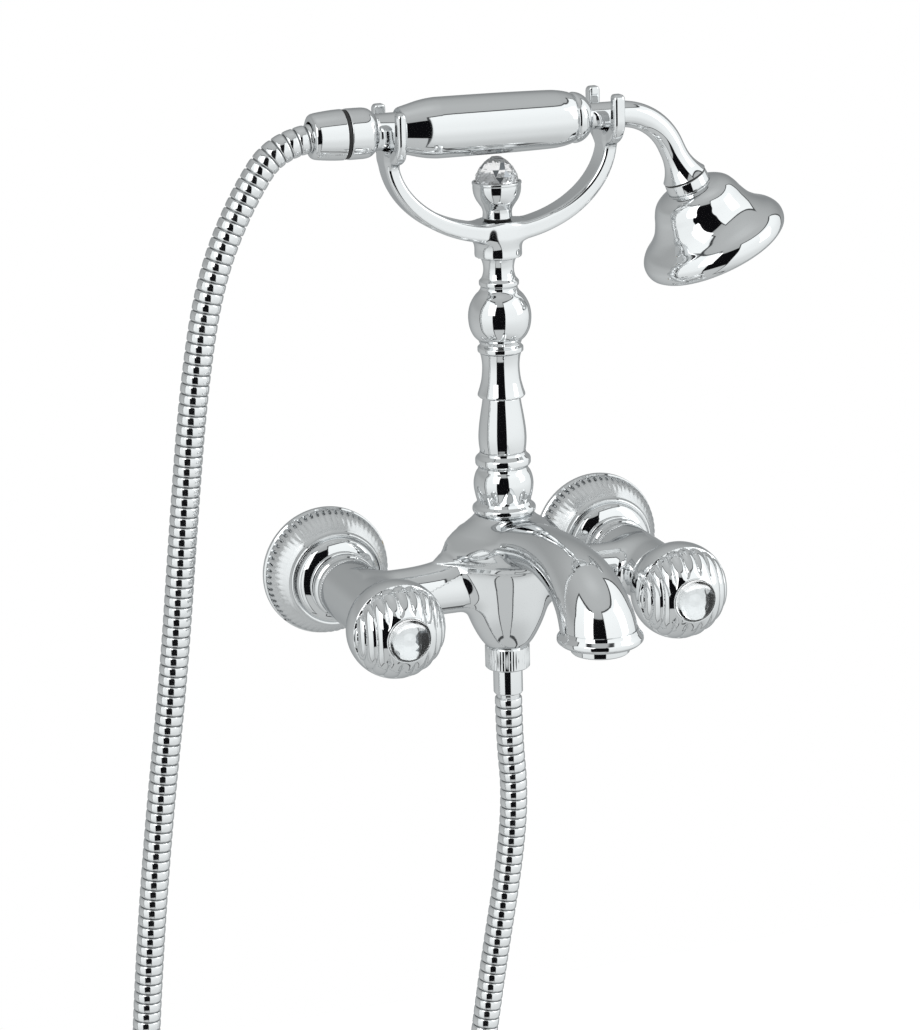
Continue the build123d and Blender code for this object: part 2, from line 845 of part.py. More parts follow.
print("radii", [round(radius, 1) for radius in radii])
print("route length", round(route_line.length, 1), "points", [tuple(round(v, 2) for v in p) for p in points])


def across_route(gone):
    """The plane across the route at a length along it, with its X axis held steady."""
    share = gone / route_line.length
    along = route_line % share
    return Plane(origin=route_line @ share, x_dir=Vector(0, 1, 0).cross(along), z_dir=along)


outer = hose_diameter / 2
end_run = hose_diameter
pitch = (route_line.length - 2 * end_run) / rib_count
stations = [(0, outer - hose_groove), (end_run, outer - hose_groove)]
for rib in range(rib_count):
    low = end_run + pitch * rib
    stations += [(low + pitch * 0.12, outer - hose_groove), (low + pitch * 0.26, outer),
                 (low + pitch * 0.74, outer), (low + pitch * 0.88, outer - hose_groove)]
stations += [(route_line.length - end_run, outer - hose_groove), (route_line.length, outer - hose_groove)]
ribs = loft([across_route(gone) * Circle(radius) for gone, radius in stations], ruled=True)
hose = ribs - sweep(across_route(0) * Circle(hose_bore / 2), path=route_line)
save(hose, "hose")
section = pi * ((outer - hose_groove * 0.38) ** 2 - (hose_bore / 2) ** 2)
print("hose volume against section times length", round(hose.volume / (section * route_line.length), 3))
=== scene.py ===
import json
from math import acos, cos, pi, radians, sin, tan

import bmesh
import bpy
import numpy as np
from mathutils import Matrix, Vector


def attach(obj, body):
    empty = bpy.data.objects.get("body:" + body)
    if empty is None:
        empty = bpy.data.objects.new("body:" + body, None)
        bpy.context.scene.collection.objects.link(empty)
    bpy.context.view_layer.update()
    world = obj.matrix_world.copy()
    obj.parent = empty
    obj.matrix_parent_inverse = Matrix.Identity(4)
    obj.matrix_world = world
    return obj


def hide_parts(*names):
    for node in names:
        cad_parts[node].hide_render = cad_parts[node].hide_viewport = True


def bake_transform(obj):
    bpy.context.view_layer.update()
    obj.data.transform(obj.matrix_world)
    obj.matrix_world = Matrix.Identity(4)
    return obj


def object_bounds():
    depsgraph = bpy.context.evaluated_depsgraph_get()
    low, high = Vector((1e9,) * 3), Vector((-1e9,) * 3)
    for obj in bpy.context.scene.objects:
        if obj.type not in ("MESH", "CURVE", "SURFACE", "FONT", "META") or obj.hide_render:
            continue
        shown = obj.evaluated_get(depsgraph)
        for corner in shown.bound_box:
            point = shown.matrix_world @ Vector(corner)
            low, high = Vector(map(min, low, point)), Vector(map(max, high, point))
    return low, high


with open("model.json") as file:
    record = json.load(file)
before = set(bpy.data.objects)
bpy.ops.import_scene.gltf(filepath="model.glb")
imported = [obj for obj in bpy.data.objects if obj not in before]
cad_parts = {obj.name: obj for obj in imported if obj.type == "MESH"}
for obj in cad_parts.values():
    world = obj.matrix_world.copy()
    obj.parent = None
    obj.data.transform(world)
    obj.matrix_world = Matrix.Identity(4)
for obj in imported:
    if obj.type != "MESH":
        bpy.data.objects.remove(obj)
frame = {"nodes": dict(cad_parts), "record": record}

cad_low, cad_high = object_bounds()

# Bath mixer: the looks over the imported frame. Lengths are in millimetres until a mesh is made.
MM = 0.001

# Values shared with the solids
half_spacing = 75.0
column_out = 64.7
spout_out = 188.5
cradle_out = 69.4


# Frames in which the turned pieces are drawn: local Z is the piece's own axis
def frame_at(origin, along, across):
    """A matrix whose Z runs along one direction and whose X is near another."""
    z = Vector(along).normalized()
    y = z.cross(Vector(across)).normalized()
    x = y.cross(z)
    place = Matrix((x, y, z)).transposed().to_4x4()
    place.translation = Vector(origin)
    return place


column = frame_at((0, -column_out, 0), (0, 0, 1), (1, 0, 0))
left_valve = frame_at((-half_spacing, 0, 0), (0, -1, 0), (1, 0, 0))
right_valve = frame_at((half_spacing, 0, 0), (0, -1, 0), (1, 0, 0))
sides = (("left", left_valve), ("right", right_valve))
mouth = frame_at((0, -spout_out, 0), (0, 0, 1), (1, 0, 0))
handset_lean = radians(0.665)
handset = frame_at((0, -cradle_out, 235.25), (cos(handset_lean), 0, -sin(handset_lean)), (0, 0, -1))


# Camera: the photograph's viewing angle, found from the wall side, the column and the cradle
camera_place = Vector((-583.0, -1603.2, 505.9)) * MM
camera_pan = radians(19.98)
camera_tilt = radians(15.91)
camera_roll = radians(-1.53)
camera_lens = 119.10


def add_camera():
    forward = Vector((sin(camera_pan) * cos(camera_tilt), cos(camera_pan) * cos(camera_tilt),
                      -sin(camera_tilt)))
    level = Vector((cos(camera_pan), -sin(camera_pan), 0))
    upright = level.cross(forward)
    right = level * cos(camera_roll) + upright * sin(camera_roll)
    up = upright * cos(camera_roll) - level * sin(camera_roll)
    data = bpy.data.cameras.new("camera")
    data.sensor_width = 36.0
    data.lens = camera_lens
    data.clip_start = 0.05
    data.clip_end = 50.0
    camera = bpy.data.objects.new("camera", data)
    bpy.context.scene.collection.objects.link(camera)
    place = Matrix((right, up, -forward)).transposed().to_4x4()
    place.translation = camera_place
    camera.matrix_world = place
    bpy.context.scene.camera = camera


add_camera()


# Materials
def new_material(name, **values):
    material = bpy.data.materials.new(name)
    material.use_nodes = True
    shader = material.node_tree.nodes["Principled BSDF"]
    for socket, value in values.items():
        shader.inputs[socket.replace("_", " ")].default_value = value
    return material


def add_node(owner, kind, **values):
    """A node of a material or world. A value goes to its socket of that name, or else to its setting."""
    node = owner.node_tree.nodes.new(kind)
    for name, value in values.items():
        socket = name.replace("_", " ")
        if socket in node.inputs:
            node.inputs[socket].default_value = value
        else:
            setattr(node, name, value)
    return node


def compute(owner, operation, first, second=None):
    """The result of a math node. Its inputs are numbers or other nodes' results."""
    step = add_node(owner, "ShaderNodeMath", operation=operation)
    for index, value in enumerate((first, second)):
        if isinstance(value, (int, float)):
            step.inputs[index].default_value = value
        elif value is not None:
            owner.node_tree.links.new(value, step.inputs[index])
    return step.outputs[0]


def mix_shaders(owner, share, under, over):
    mix = add_node(owner, "ShaderNodeMixShader")
    for index, result in enumerate((share, under, over)):
        owner.node_tree.links.new(result, mix.inputs[index])
    return mix.outputs[0]


def noise(material, scale, detail, **values):
    """The value of a noise that is fixed to the object."""
    place = add_node(material, "ShaderNodeTexCoord")
    cloud = add_node(material, "ShaderNodeTexNoise", Scale=scale, Detail=detail, **values)
    material.node_tree.links.new(place.outputs["Object"], cloud.inputs["Vector"])
    return cloud.outputs["Fac"]


def wear(material, scale, low, high, bump=0.0, bump_scale=None):
    """Uneven roughness from noise, and a fine bump."""
    links = material.node_tree.links
    shader = material.node_tree.nodes["Principled BSDF"]
    spread = add_node(material, "ShaderNodeMapRange", From_Min=0.35, From_Max=0.65, To_Min=low, To_Max=high)
    links.new(noise(material, scale, 6.0, Roughness=0.6), spread.inputs["Value"])
    links.new(spread.outputs["Result"], shader.inputs["Roughness"])
    if bump:
        relief = add_node(material, "ShaderNodeBump", Strength=1.0, Distance=bump)
        links.new(noise(material, bump_scale, 3.0), relief.inputs["Height"])
        links.new(relief.outputs["Normal"], shader.inputs["Normal"])
    return material


def tint(material, scale, first, second):
    """Two near colours mixed by noise."""
    links = material.node_tree.links
    ramp = add_node(material, "ShaderNodeValToRGB")
    for element, position, colour in zip(ramp.color_ramp.elements, (0.35, 0.65), (first, second)):
        element.position = position
        element.color = colour
    links.new(noise(material, scale, 4.0), ramp.inputs["Fac"])
    links.new(ramp.outputs["Color"], material.node_tree.nodes["Principled BSDF"].inputs["Base Color"])
    return material


def metal(name, colour, scale, low, high, edge=None, **bump):
    """A metal with uneven roughness. The edge colour is the one that it takes at grazing angles."""
    values = {"Metallic": 1.0, "Base_Color": (*colour, 1)}
    if edge:
        values["Specular_Tint"] = (*edge, 1)
    return wear(new_material(name, **values), scale, low, high, **bump)


chrome_colour = (0.86, 0.87, 0.875)
edge_grey = (0.62, 0.63, 0.64)
chrome = metal("chrome", chrome_colour, 60.0, 0.03, 0.06, edge_grey)
cast_chrome = metal("cast_chrome", chrome_colour, 45.0, 0.035, 0.07, edge_grey, bump=0.00004, bump_scale=70.0)
satin_chrome = metal("satin_chrome", (0.84, 0.85, 0.855), 120.0, 0.2, 0.28, edge_grey)
hose_metal = metal("hose_metal", chrome_colour, 120.0, 0.05, 0.12, edge_grey)
# A dark, rougher metal for the hose's groove faces: painted shade in the grooves
painted_groove_shade = metal("painted_groove_shade", (0.24, 0.25, 0.255), 120.0, 0.3, 0.45)
steel = metal("steel", (0.62, 0.62, 0.61), 250.0, 0.2, 0.35, bump=0.00002, bump_scale=1500.0)
backing = metal("crystal_backing", (0.92, 0.93, 0.94), 150.0, 0.05, 0.12)
# A dark metal for chosen facets of the foils and the diverter's dome: painted dark reflection
painted_facet_reflection = metal("painted_facet_reflection", (0.24, 0.255, 0.27), 150.0, 0.08, 0.16)
crystal = wear(new_material("crystal", Base_Color=(0.985, 0.99, 0.99, 1), IOR=1.5, Transmission_Weight=1.0),
               90.0, 0.0, 0.03)
cut_crystal = wear(new_material("cut_crystal", Base_Color=(0.99, 0.995, 1.0, 1), IOR=1.3,
                                Transmission_Weight=0.85), 90.0, 0.0, 0.04)
black_rubber = wear(new_material("black_rubber", Base_Color=(0.02, 0.02, 0.02, 1)), 300.0, 0.45, 0.65,
                    bump=0.00005, bump_scale=900.0)
brass = wear(tint(new_material("brass", Metallic=1.0), 90.0, (0.60, 0.43, 0.20, 1), (0.68, 0.50, 0.25, 1)),
             200.0, 0.18, 0.34, bump=0.00002, bump_scale=1500.0)
ceramic = wear(tint(new_material("ceramic"), 200.0, (0.86, 0.85, 0.80, 1), (0.90, 0.89, 0.85, 1)),
               300.0, 0.12, 0.2)
grey_plastic = wear(tint(new_material("grey_plastic"), 150.0, (0.33, 0.34, 0.35, 1), (0.37, 0.38, 0.39, 1)),
                    400.0, 0.35, 0.5, bump=0.00003, bump_scale=1200.0)
slot_materials = {
    "chrome": chrome, "hose_metal": hose_metal, "crystal": crystal, "black_rubber": black_rubber,
    "brass": brass, "ceramic": ceramic, "grey_plastic": grey_plastic, "steel": steel,
}


# Floor, light and the studio that the metal mirrors
def add_stage():
    size = 0.7
    level = cad_low.z - 0.012
    corners = [(-size, -size, level), (size, -size, level), (size, size, level), (-size, size, level)]
    mesh = bpy.data.meshes.new("floor")
    mesh.from_pydata(corners, [], [(0, 1, 2, 3)])
    floor = bpy.data.objects.new("floor", mesh)
    bpy.context.scene.collection.objects.link(floor)
    material = tint(new_material("floor"), 3.0, (0.80, 0.80, 0.80, 1), (0.84, 0.84, 0.84, 1))
    wear(material, 8.0, 0.6, 0.8)
    tree = material.node_tree
    rays = add_node(material, "ShaderNodeLightPath").outputs
    dark = add_node(material, "ShaderNodeEmission", Color=(0, 0, 0, 1), Strength=0.0)
    glow = add_node(material, "ShaderNodeEmission", Color=(1, 1, 1, 1), Strength=0.45)
    seen = compute(material, "MAXIMUM", rays["Is Camera Ray"], rays["Is Glossy Ray"])
    seen = compute(material, "MAXIMUM", seen, rays["Is Transmission Ray"])
    both = add_node(material, "ShaderNodeAddShader")
    tree.links.new(tree.nodes["Principled BSDF"].outputs[0], both.inputs[0])
    tree.links.new(mix_shaders(material, seen, dark.outputs[0], glow.outputs[0]), both.inputs[1])
    tree.links.new(both.outputs[0], tree.nodes["Material Output"].inputs["Surface"])
    mesh.materials.append(material)
    floor.visible_glossy = False


def add_light(name, place, wide, tall, power):
    """A soft light that faces the mixer."""
    data = bpy.data.lights.new(name, "AREA")
    data.energy = power
    data.shape = "RECTANGLE"
    data.size = wide
    data.size_y = tall
    light = bpy.data.objects.new(name, data)
    bpy.context.scene.collection.objects.link(light)
    light.location = place
    light.rotation_euler = (Vector((0, -0.05, 0)) - light.location).to_track_quat("-Z", "Y").to_euler()


# The studio's parts, in degrees from straight ahead of the object: left, right, lower and upper edge
studio_panels = ((-96, -47, -68, 50), (0, 112, -68, 50))
studio_gap = (-47, 0, -30, 40)
panel_frame = 0.055
edge_softness = 0.012
# Grey levels from straight down (0) to straight up (1)
grey_ahead = ((0.0, 0.54), (0.3, 0.58), (0.5, 0.51), (0.72, 0.45), (0.86, 0.52), (1.0, 0.60))
grey_behind = ((0.0, 0.54), (0.35, 0.57), (0.5, 0.50), (0.6, 0.41), (0.84, 0.50), (1.0, 0.60))
panel_levels = ((0.0, 0.55), (0.14, 0.60), (0.3, 0.80), (0.5, 1.0), (0.76, 1.08), (1.0, 1.0))


def add_world():
    """White for the camera. Mirrors see soft grey all round, two framed white panels and a black gap."""
    world = bpy.data.worlds.new("studio")
    bpy.context.scene.world = world
    world.use_nodes = True
    world.node_tree.nodes.clear()
    links = world.node_tree.links

    def node(kind, **values):
        return add_node(world, kind, **values)

    def math(operation, first, second=None):
        return compute(world, operation, first, second)

    def smooth_step(value, low, high):
        step = node("ShaderNodeMapRange", interpolation_type="SMOOTHSTEP", From_Min=low, From_Max=high)
        links.new(value, step.inputs["Value"])
        return step.outputs["Result"]

    def band(value, low, high, soft):
        """1 between two limits and 0 outside them, with soft edges."""
        return math("SUBTRACT", smooth_step(value, low - soft, low + soft),
                    smooth_step(value, high - soft, high + soft))

    place = node("ShaderNodeTexCoord")
    parts = node("ShaderNodeSeparateXYZ")
    links.new(place.outputs["Generated"], parts.inputs[0])
    azimuth = math("ARCTAN2", parts.outputs["X"], math("MULTIPLY", parts.outputs["Y"], -1.0))
    elevation = math("ARCSINE", parts.outputs["Z"])

    def area(edges, grow=0.0, soft=edge_softness):
        left, right, low, high = [radians(edge) for edge in edges]
        return math("MULTIPLY", band(azimuth, left - grow, right + grow, edge_softness),
                    band(elevation, low - grow, high + grow, soft))

    def ramp(stops):
        """Grey levels along the elevation, from (share, level) stops."""
        spread = node("ShaderNodeMapRange", From_Min=-pi / 2, From_Max=pi / 2)
        links.new(elevation, spread.inputs["Value"])
        colours = node("ShaderNodeValToRGB")
        colours.color_ramp.interpolation = "EASE"
        while len(colours.color_ramp.elements) < len(stops):
            colours.color_ramp.elements.new(0.5)
        for element, (share, level) in zip(colours.color_ramp.elements, stops):
            element.position = share
            element.color = (level * 0.97, level, level * 1.005, 1)
        links.new(spread.outputs["Result"], colours.inputs["Fac"])
        return colours.outputs["Color"]

    def mixed(factor, under, over):
        mix = node("ShaderNodeMix", data_type="RGBA")
        links.new(factor, mix.inputs["Factor"])
        for index, colour in ((6, under), (7, over)):
            if isinstance(colour, tuple):
                mix.inputs[index].default_value = colour
            else:
                links.new(colour, mix.inputs[index])
        return mix.outputs[2]

    white_area = math("MAXIMUM", *[area(panel) for panel in studio_panels])
    frame_area = math("MAXIMUM", *[area(panel, panel_frame) for panel in studio_panels])
    colour = mixed(smooth_step(parts.outputs["Y"], -0.35, 0.45), ramp(grey_ahead), ramp(grey_behind))
    colour = mixed(frame_area, colour, (0.06, 0.063, 0.066, 1))
    colour = mixed(white_area, colour, ramp(panel_levels))
    colour = mixed(area(studio_gap, soft=0.02), colour, (0.004, 0.004, 0.005, 1))

    rays = node("ShaderNodeLightPath").outputs
    mirrors = node("ShaderNodeBackground", Strength=1.0)
    links.new(colour, mirrors.inputs["Color"])
    plain = node("ShaderNodeBackground", Color=(1, 1, 1, 1), Strength=0.75)
    white = node("ShaderNodeBackground", Color=(1, 1, 1, 1), Strength=1.0)
    mirrored = math("GREATER_THAN", rays["Glossy Depth"], 0.5)
    through = math("MULTIPLY", rays["Is Transmission Ray"], mirrored)
    straight = math("MULTIPLY", rays["Is Transmission Ray"], math("SUBTRACT", 1.0, mirrored))
    sees_studio = math("MAXIMUM", rays["Is Glossy Ray"], through)
    sees_white = math("MAXIMUM", rays["Is Camera Ray"], straight)
    studio = mix_shaders(world, sees_studio, plain.outputs[0], mirrors.outputs[0])
    result = mix_shaders(world, sees_white, studio, white.outputs[0])
    links.new(result, node("ShaderNodeOutputWorld").inputs["Surface"])


add_stage()
add_world()
add_light("left_softbox", (-1.6, -1.4, 1.2), wide=1.0, tall=1.6, power=9.0)
add_light("right_softbox", (1.7, -1.0, 0.9), wide=0.9, tall=1.4, power=5.0)
bpy.context.scene.view_settings.view_transform = "Standard"


# Mesh helpers
def add_mesh(name, points, faces, material, smooth_angle=38.0):
    """A smooth-shaded object from points in millimetres. Edges over the angle stay sharp."""
    mesh = bpy.data.meshes.new(name)
    mesh.from_pydata((np.asarray(points, float) * MM).tolist(), [], [list(map(int, f)) for f in faces])
    mesh.validate()
    mesh.update()
    mesh.polygons.foreach_set("use_smooth", [True] * len(mesh.polygons))
    mesh.set_sharp_from_angle(angle=radians(smooth_angle))
    mesh.materials.append(material)
    piece = bpy.data.objects.new(name, mesh)
    bpy.context.scene.collection.objects.link(piece)
    return piece


def unit(value):
    """A share, held between 0 and 1."""
    return np.clip(value, 0, 1)


def directions(rows):
    """The rows with a length of one."""
    return rows / np.linalg.norm(rows, axis=1)[:, None]


def distance_along(line):
    return np.concatenate([[0], np.cumsum(np.linalg.norm(np.diff(line, axis=0), axis=1))])


def placed(points, place):
    """The points of a piece's own frame in the shared one."""
    turn = np.array(place.to_3x3())
    return np.asarray(points, float) @ turn.T + np.array(place.translation)


def smooth_line(stations, count):
    """Even steps along a smooth curve through rows of numbers."""
    rows = np.array(stations, float)
    rows = np.vstack([2 * rows[0] - rows[1], rows, 2 * rows[-1] - rows[-2]])
    found = []
    for a, b, c, d in zip(rows, rows[1:], rows[2:], rows[3:]):
        for t in np.linspace(0, 1, count, endpoint=False):
            found.append(0.5 * (2 * b + (c - a) * t + (2 * a - 5 * b + 4 * c - d) * t**2
                                + (3 * b - a - 3 * c + d) * t**3))
    found.append(rows[-2])
    return np.array(found)


def rounded(points, steps=7):
    """A profile from (radius, height) or (radius, height, rounding) points, its corners rounded.

    A list inside it is a smooth curve through its points.
    """
    spread = []
    for point in points:
        spread += [tuple(row) for row in smooth_line(point, 10)] if isinstance(point, list) else [point]
    points = spread
    line = []
    last = len(points) - 1
    for index, point in enumerate(points):
        here = Vector(point[:2])
        size = point[2] if len(point) > 2 else 0.0
        if index in (0, last) or size == 0:
            line.append(here)
            continue
        back = Vector(points[index - 1][:2]) - here
        ahead = Vector(points[index + 1][:2]) - here
        turn = pi - back.angle(ahead)
        if turn < 0.01:
            line.append(here)
            continue
        reach = min(size * tan(turn / 2), 0.49 * back.length, 0.49 * ahead.length)
        radius = reach / tan(turn / 2)
        start = here + back.normalized() * reach
        inward = (back.normalized() + ahead.normalized()).normalized()
        middle = here + inward * (radius / cos(turn / 2))
        way = 1 if back.x * ahead.y - back.y * ahead.x < 0 else -1
        count = max(2, int(steps * turn / 1.2) + 1)
        for step in range(count + 1):
            angle = way * turn * step / count
            arm = start - middle
            line.append(middle + Vector((arm.x * cos(angle) - arm.y * sin(angle),
                                         arm.x * sin(angle) + arm.y * cos(angle))))
    return np.array([tuple(p) for p in line])


def weld(piece, distance, outward=False):
    """Points nearer than the distance, in metres, become one."""
    work = bmesh.new()
    work.from_mesh(piece.data)
    bmesh.ops.remove_doubles(work, verts=work.verts, dist=distance)
    if outward:
        bmesh.ops.recalc_face_normals(work, faces=work.faces)
    work.to_mesh(piece.data)
    work.free()


def surface_of_turning(profile, around, shift=None):
    """Points and faces of a profile turned about Z. shift(angles, profile) may move the points."""
    angles = np.arange(around) * 2 * pi / around
    radius = np.repeat(profile[None, :, 0], around, axis=0)
    height = np.repeat(profile[None, :, 1], around, axis=0)
    if shift:
        change_r, change_z = shift(angles, profile)
        radius = radius + change_r
        height = height + change_z
    points = np.stack([radius * np.cos(angles)[:, None], radius * np.sin(angles)[:, None], height], axis=2)
    count = len(profile)
    faces = [(a * count + i, b * count + i, b * count + i + 1, a * count + i + 1)
             for a in range(around) for b in [(a + 1) % around] for i in range(count - 1)]
    return points.reshape(-1, 3), faces


def ring(radius, count, height, turn=0.0):
    """Spots evenly round the Z axis, turned by a share of a step."""
    angles = [2 * pi * (step + turn) / count for step in range(count)]
    return [(radius * cos(angle), radius * sin(angle), height) for angle in angles]


def copies(points, faces, spots):
    """Points and faces of a small form at several spots."""
    return (np.concatenate([points + np.array(spot) for spot in spots]),
            [tuple(len(points) * i + corner for corner in face) for i in range(len(spots)) for face in faces])


def lathe(name, place, points, material=chrome, around=144, shift=None, smooth_angle=38.0):
    """A turned piece from a rounded profile."""
    mesh_points, faces = surface_of_turning(rounded(points), around, shift)
    piece = add_mesh(name, placed(mesh_points, place), faces, material, smooth_angle)
    weld(piece, 2e-6, outward=True)
    piece.data.set_sharp_from_angle(angle=radians(smooth_angle))
    return piece


def face_centres(piece):
    """The middle of each face in millimetres."""
    centres = np.empty(len(piece.data.polygons) * 3)
    piece.data.polygons.foreach_get("center", centres)
    return centres.reshape(-1, 3) / MM


def second_material(piece, material, chosen):
    """The chosen faces get another material."""
    piece.data.materials.append(material)
    piece.data.polygons.foreach_set("material_index", chosen.astype(int))


def dress(piece, body, slot, *nodes):
    """A piece rides on its body and stands for its CAD nodes. Its slot is not used."""
    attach(piece, body)
    if nodes:
        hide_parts(*nodes)
    return piece


def turned(name, place, points, body, *nodes, slot="chrome", **shape):
    """A turned piece that rides on its body, has a slot and stands for its CAD nodes."""
    return dress(lathe(name, place, points, slot_materials[slot], **shape), body, slot, *nodes)


# Hose: the route's points are those of the solids
route = [
    (-85.99, -69.4, 236.25), (-110.99, -69.4, 236.54), (-131, -68, 209), (-148.5, -68, 171),
    (-159, -68, 119), (-167.5, -68, 51), (-175.6, -68, -20), (-187, -68, -95), (-196, -67.6, -170),
    (-203, -67.2, -250), (-207.5, -67, -330), (-207, -66.6, -405), (-207, -66.2, -495.04),
    (-183.96, -66.2, -534.96), (-144.04, -66.2, -558), (-97.96, -66.2, -558),
    (-58.04, -66.2, -534.96), (-35, -66.2, -495.04), (-33.5, -65.4, -400), (-31, -65.2, -328),
    (-20.5, -65, -258), (-11, -64.9, -200), (-1.5, -64.8, -150), (2.4, -64.8, -113),
    (0, -64.7, -82.3), (0, -64.7, -57.3),
]
hose_diameter = 14.0
hose_pitch = 5.0
groove_depth = 0.95
# One band and its groove: (share of the pitch, depth under the outside)
band_shape = [(0, 1), (0.055, 1), (0.07, 0.42), (0.12, 0.18), (0.22, 0.06), (0.5, 0), (0.78, 0.06),
              (0.88, 0.18), (0.93, 0.42), (0.945, 1)]


def route_line(name, points):
    """Points along the smooth line that has the route's points as its control points."""
    data = bpy.data.curves.new(name, "CURVE")
    data.dimensions = "3D"
    data.resolution_u = 48
    spline = data.splines.new("NURBS")
    spline.points.add(len(points) - 1)
    for place, point in zip(spline.points, points):
        place.co = (point[0] * MM, point[1] * MM, point[2] * MM, 1.0)
    spline.order_u = 3
    spline.use_endpoint_u = True
    line = bpy.data.objects.new(name, data)
    bpy.context.scene.collection.objects.link(line)
    bpy.context.view_layer.update()
    mesh = bpy.data.meshes.new_from_object(line)
    found = np.array([tuple(v.co) for v in mesh.vertices]) / MM
    bpy.data.meshes.remove(mesh)
    bpy.data.objects.remove(line)
    return found


def tube_surface(middle, ahead, side, radius, around):
    """Points and faces of a closed tube along a line."""
    third = np.cross(ahead, side)
    angles = np.arange(around) * 2 * pi / around
    points = middle[:, None] + radius[:, None, None] * (
        np.cos(angles)[None, :, None] * side[:, None] + np.sin(angles)[None, :, None] * third[:, None])
    last = (len(middle) - 1) * around
    faces = [(i + a, i + b, i + around + b, i + around + a)
             for i in range(0, last, around) for a in range(around) for b in [(a + 1) % around]]
    faces += [tuple(range(around - 1, -1, -1)), tuple(range(last, last + around))]
    return points.reshape(-1, 3), faces


def ribbed_tube(name, path, section, material, around=40):
    """A tube along a path. section is a list of (distance along, radius)."""
    gone = distance_along(path)
    where, radius = np.array(section).T

    def there(rows):
        return np.stack([np.interp(where, gone, column) for column in rows.T], axis=1)

    ahead = directions(there(directions(np.gradient(path, gone, axis=0))))
    side = directions(np.cross([[0, 1, 0]], ahead))
    points, faces = tube_surface(there(path), ahead, side, radius, around)
    tube = add_mesh(name, points, faces, material, 35.0)
    # The faces deep in each groove take the darker metal, painted shade in the recesses
    deep = np.maximum(radius[1:], radius[:-1]) < radius.max() - groove_depth
    second_material(tube, painted_groove_shade, np.append(np.repeat(deep, around), [False, False]))
    return tube


def hose_section(length):
    """Flat bands with rounded edges a pitch apart, narrow grooves between them, and plain ends."""
    outer = hose_diameter / 2
    inner = outer - 0.9
    plain = 2.0
    count = round((length - 2 * plain) / hose_pitch)
    pitch = (length - 2 * plain) / count
    bands = [(plain + (rib + share) * pitch, outer - sunk)
             for rib in range(count) for share, sunk in band_shape]
    return [(0, inner), *bands, (length - plain, inner), (length, inner)]


hose_path = route_line("hose_route", route)
hose_length = float(distance_along(hose_path)[-1])
hose = ribbed_tube("metal_hose", hose_path, hose_section(hose_length), hose_metal)
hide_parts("hose")
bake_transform(hose)


# Wall side: rosettes with a fluted rim, union nuts with a beaded ring
gadroon_count = 60
lobe_depth = 0.4
notch_depth = 2.0
fluted_band = (3.1, 17.6)
rosette_points = [
    (30, 0), (33.4, 0, 0.2), (33.4, 2.2, 0.5), (32.6, 2.9, 0.3),
    [(32.5, 3.4), (32.4, 5.2), (31.2, 9), (29, 12.6), (26.6, 15.6), (24.9, 17.6), (24.2, 19)],
    (24.2, 20, 0.3), (23.6, 20.7, 0.5), (22.6, 20.5, 0.4), (22.3, 19.9, 0.2),
    [(22.2, 20), (22, 21.9), (21.2, 23.5), (19.6, 24.8), (17.6, 25.9), (15.8, 26.7)],
    (15.4, 26.8), (10.2, 26.8),
]
nut_points = [
    (10.2, 26.9), (15.6, 26.9, 0.6), (17.1, 28, 1.2), (17.1, 29.8, 1.2), (15.6, 30.4, 0.4),
    (15.6, 30.9, 0.4), (16.9, 31.8, 1.6), (16.9, 35.2, 1.8), (15.5, 36.2, 0.4), (15.3, 38.6, 0.4),
    (14.8, 38.8, 0.3), (14.8, 41.6, 0.3), (12.6, 41.7, 0.2), (12.6, 39),
]


def gadroons(angles, profile):
    """Convex lobes on the rosette's band, fading inward, with square notches between them at the rim."""
    wave = np.abs(np.cos(angles * gadroon_count / 2))
    radius = profile[:, 0]
    height = profile[:, 1]
    outside = unit((height - 3.0) / 0.4)
    inside = unit((radius - 26.5) / 5.5)
    notch = outside * unit((8.4 - height) / 1.5)
    lobes = lobe_depth * (outside * inside)[None] * (wave[:, None] ** 0.8 - 1.0)
    notches = -notch_depth * notch[None] * unit((0.66 - wave[:, None]) / 0.1)
    return (lobes + notches) * 0.8, (lobes + notches) * 0.6


def beads(name, place, out, radius, size, count):
    """A ring of small balls."""
    tilts = np.linspace(0, pi, 8)
    ball = size * np.stack([np.sin(tilts), -np.cos(tilts)], axis=1)
    points, faces = copies(*surface_of_turning(ball, 10), ring(radius, count, out))
    piece = add_mesh(name, placed(points, place), faces, chrome, 80.0)
    weld(piece, 1e-6)
    return piece


for side, valve in sides:
    rosette = lathe(f"{side}_wall_rosette", valve, rosette_points, around=gadroon_count * 8, shift=gadroons,
                    smooth_angle=50.0)
    from_wall = -face_centres(rosette)[:, 1]
    second_material(rosette, satin_chrome, (from_wall > fluted_band[0]) & (from_wall < fluted_band[1]))
    dress(rosette, "mixer", "chrome", f"{side}_rosette")
    turned(f"{side}_ringed_nut", valve, nut_points, "mixer", f"{side}_union_nut")
    dress(beads(f"{side}_beaded_ring", valve, out=40.2, radius=15.0, size=0.75, count=72), "mixer", "chrome")


def faceted_dome(name, place, rows, count, material):
    """A cut stone. Each row is (radius, height), and every other row is turned half a facet."""
    points = []
    faces = []
    for index, (radius, height) in enumerate(rows):
        points += ring(radius, count, height, 0.5 * (index % 2))
    for index in range(len(rows) - 1):
        low, high = index * count, (index + 1) * count
        for step in range(count):
            ahead = (step + 1) % count
            middle, start = (step, ahead) if index % 2 == 0 else (ahead, step)
            faces.append((low + step, low + ahead, high + middle))
            faces.append((low + start, high + ahead, high + step))
    faces.append(tuple(range(count - 1, -1, -1)))
    top = (len(rows) - 1) * count
    points.append((0, 0, rows[-1][1] + 0.3))
    faces += [(top + step, top + (step + 1) % count, len(points) - 1) for step in range(count)]
    piece = add_mesh(name, placed(points, place), faces, material, 1.0)
    piece.data.polygons.foreach_set("use_smooth", [False] * len(piece.data.polygons))
    return piece


for side, valve in sides:
    turned(f"{side}_valve_sleeve", valve, [
        (13.7, 87.6), (14.6, 87.6), (14.6, 92.2, 0.4), (14.2, 92.7, 0.3), (13.7, 92.7),
    ], "mixer", around=96)

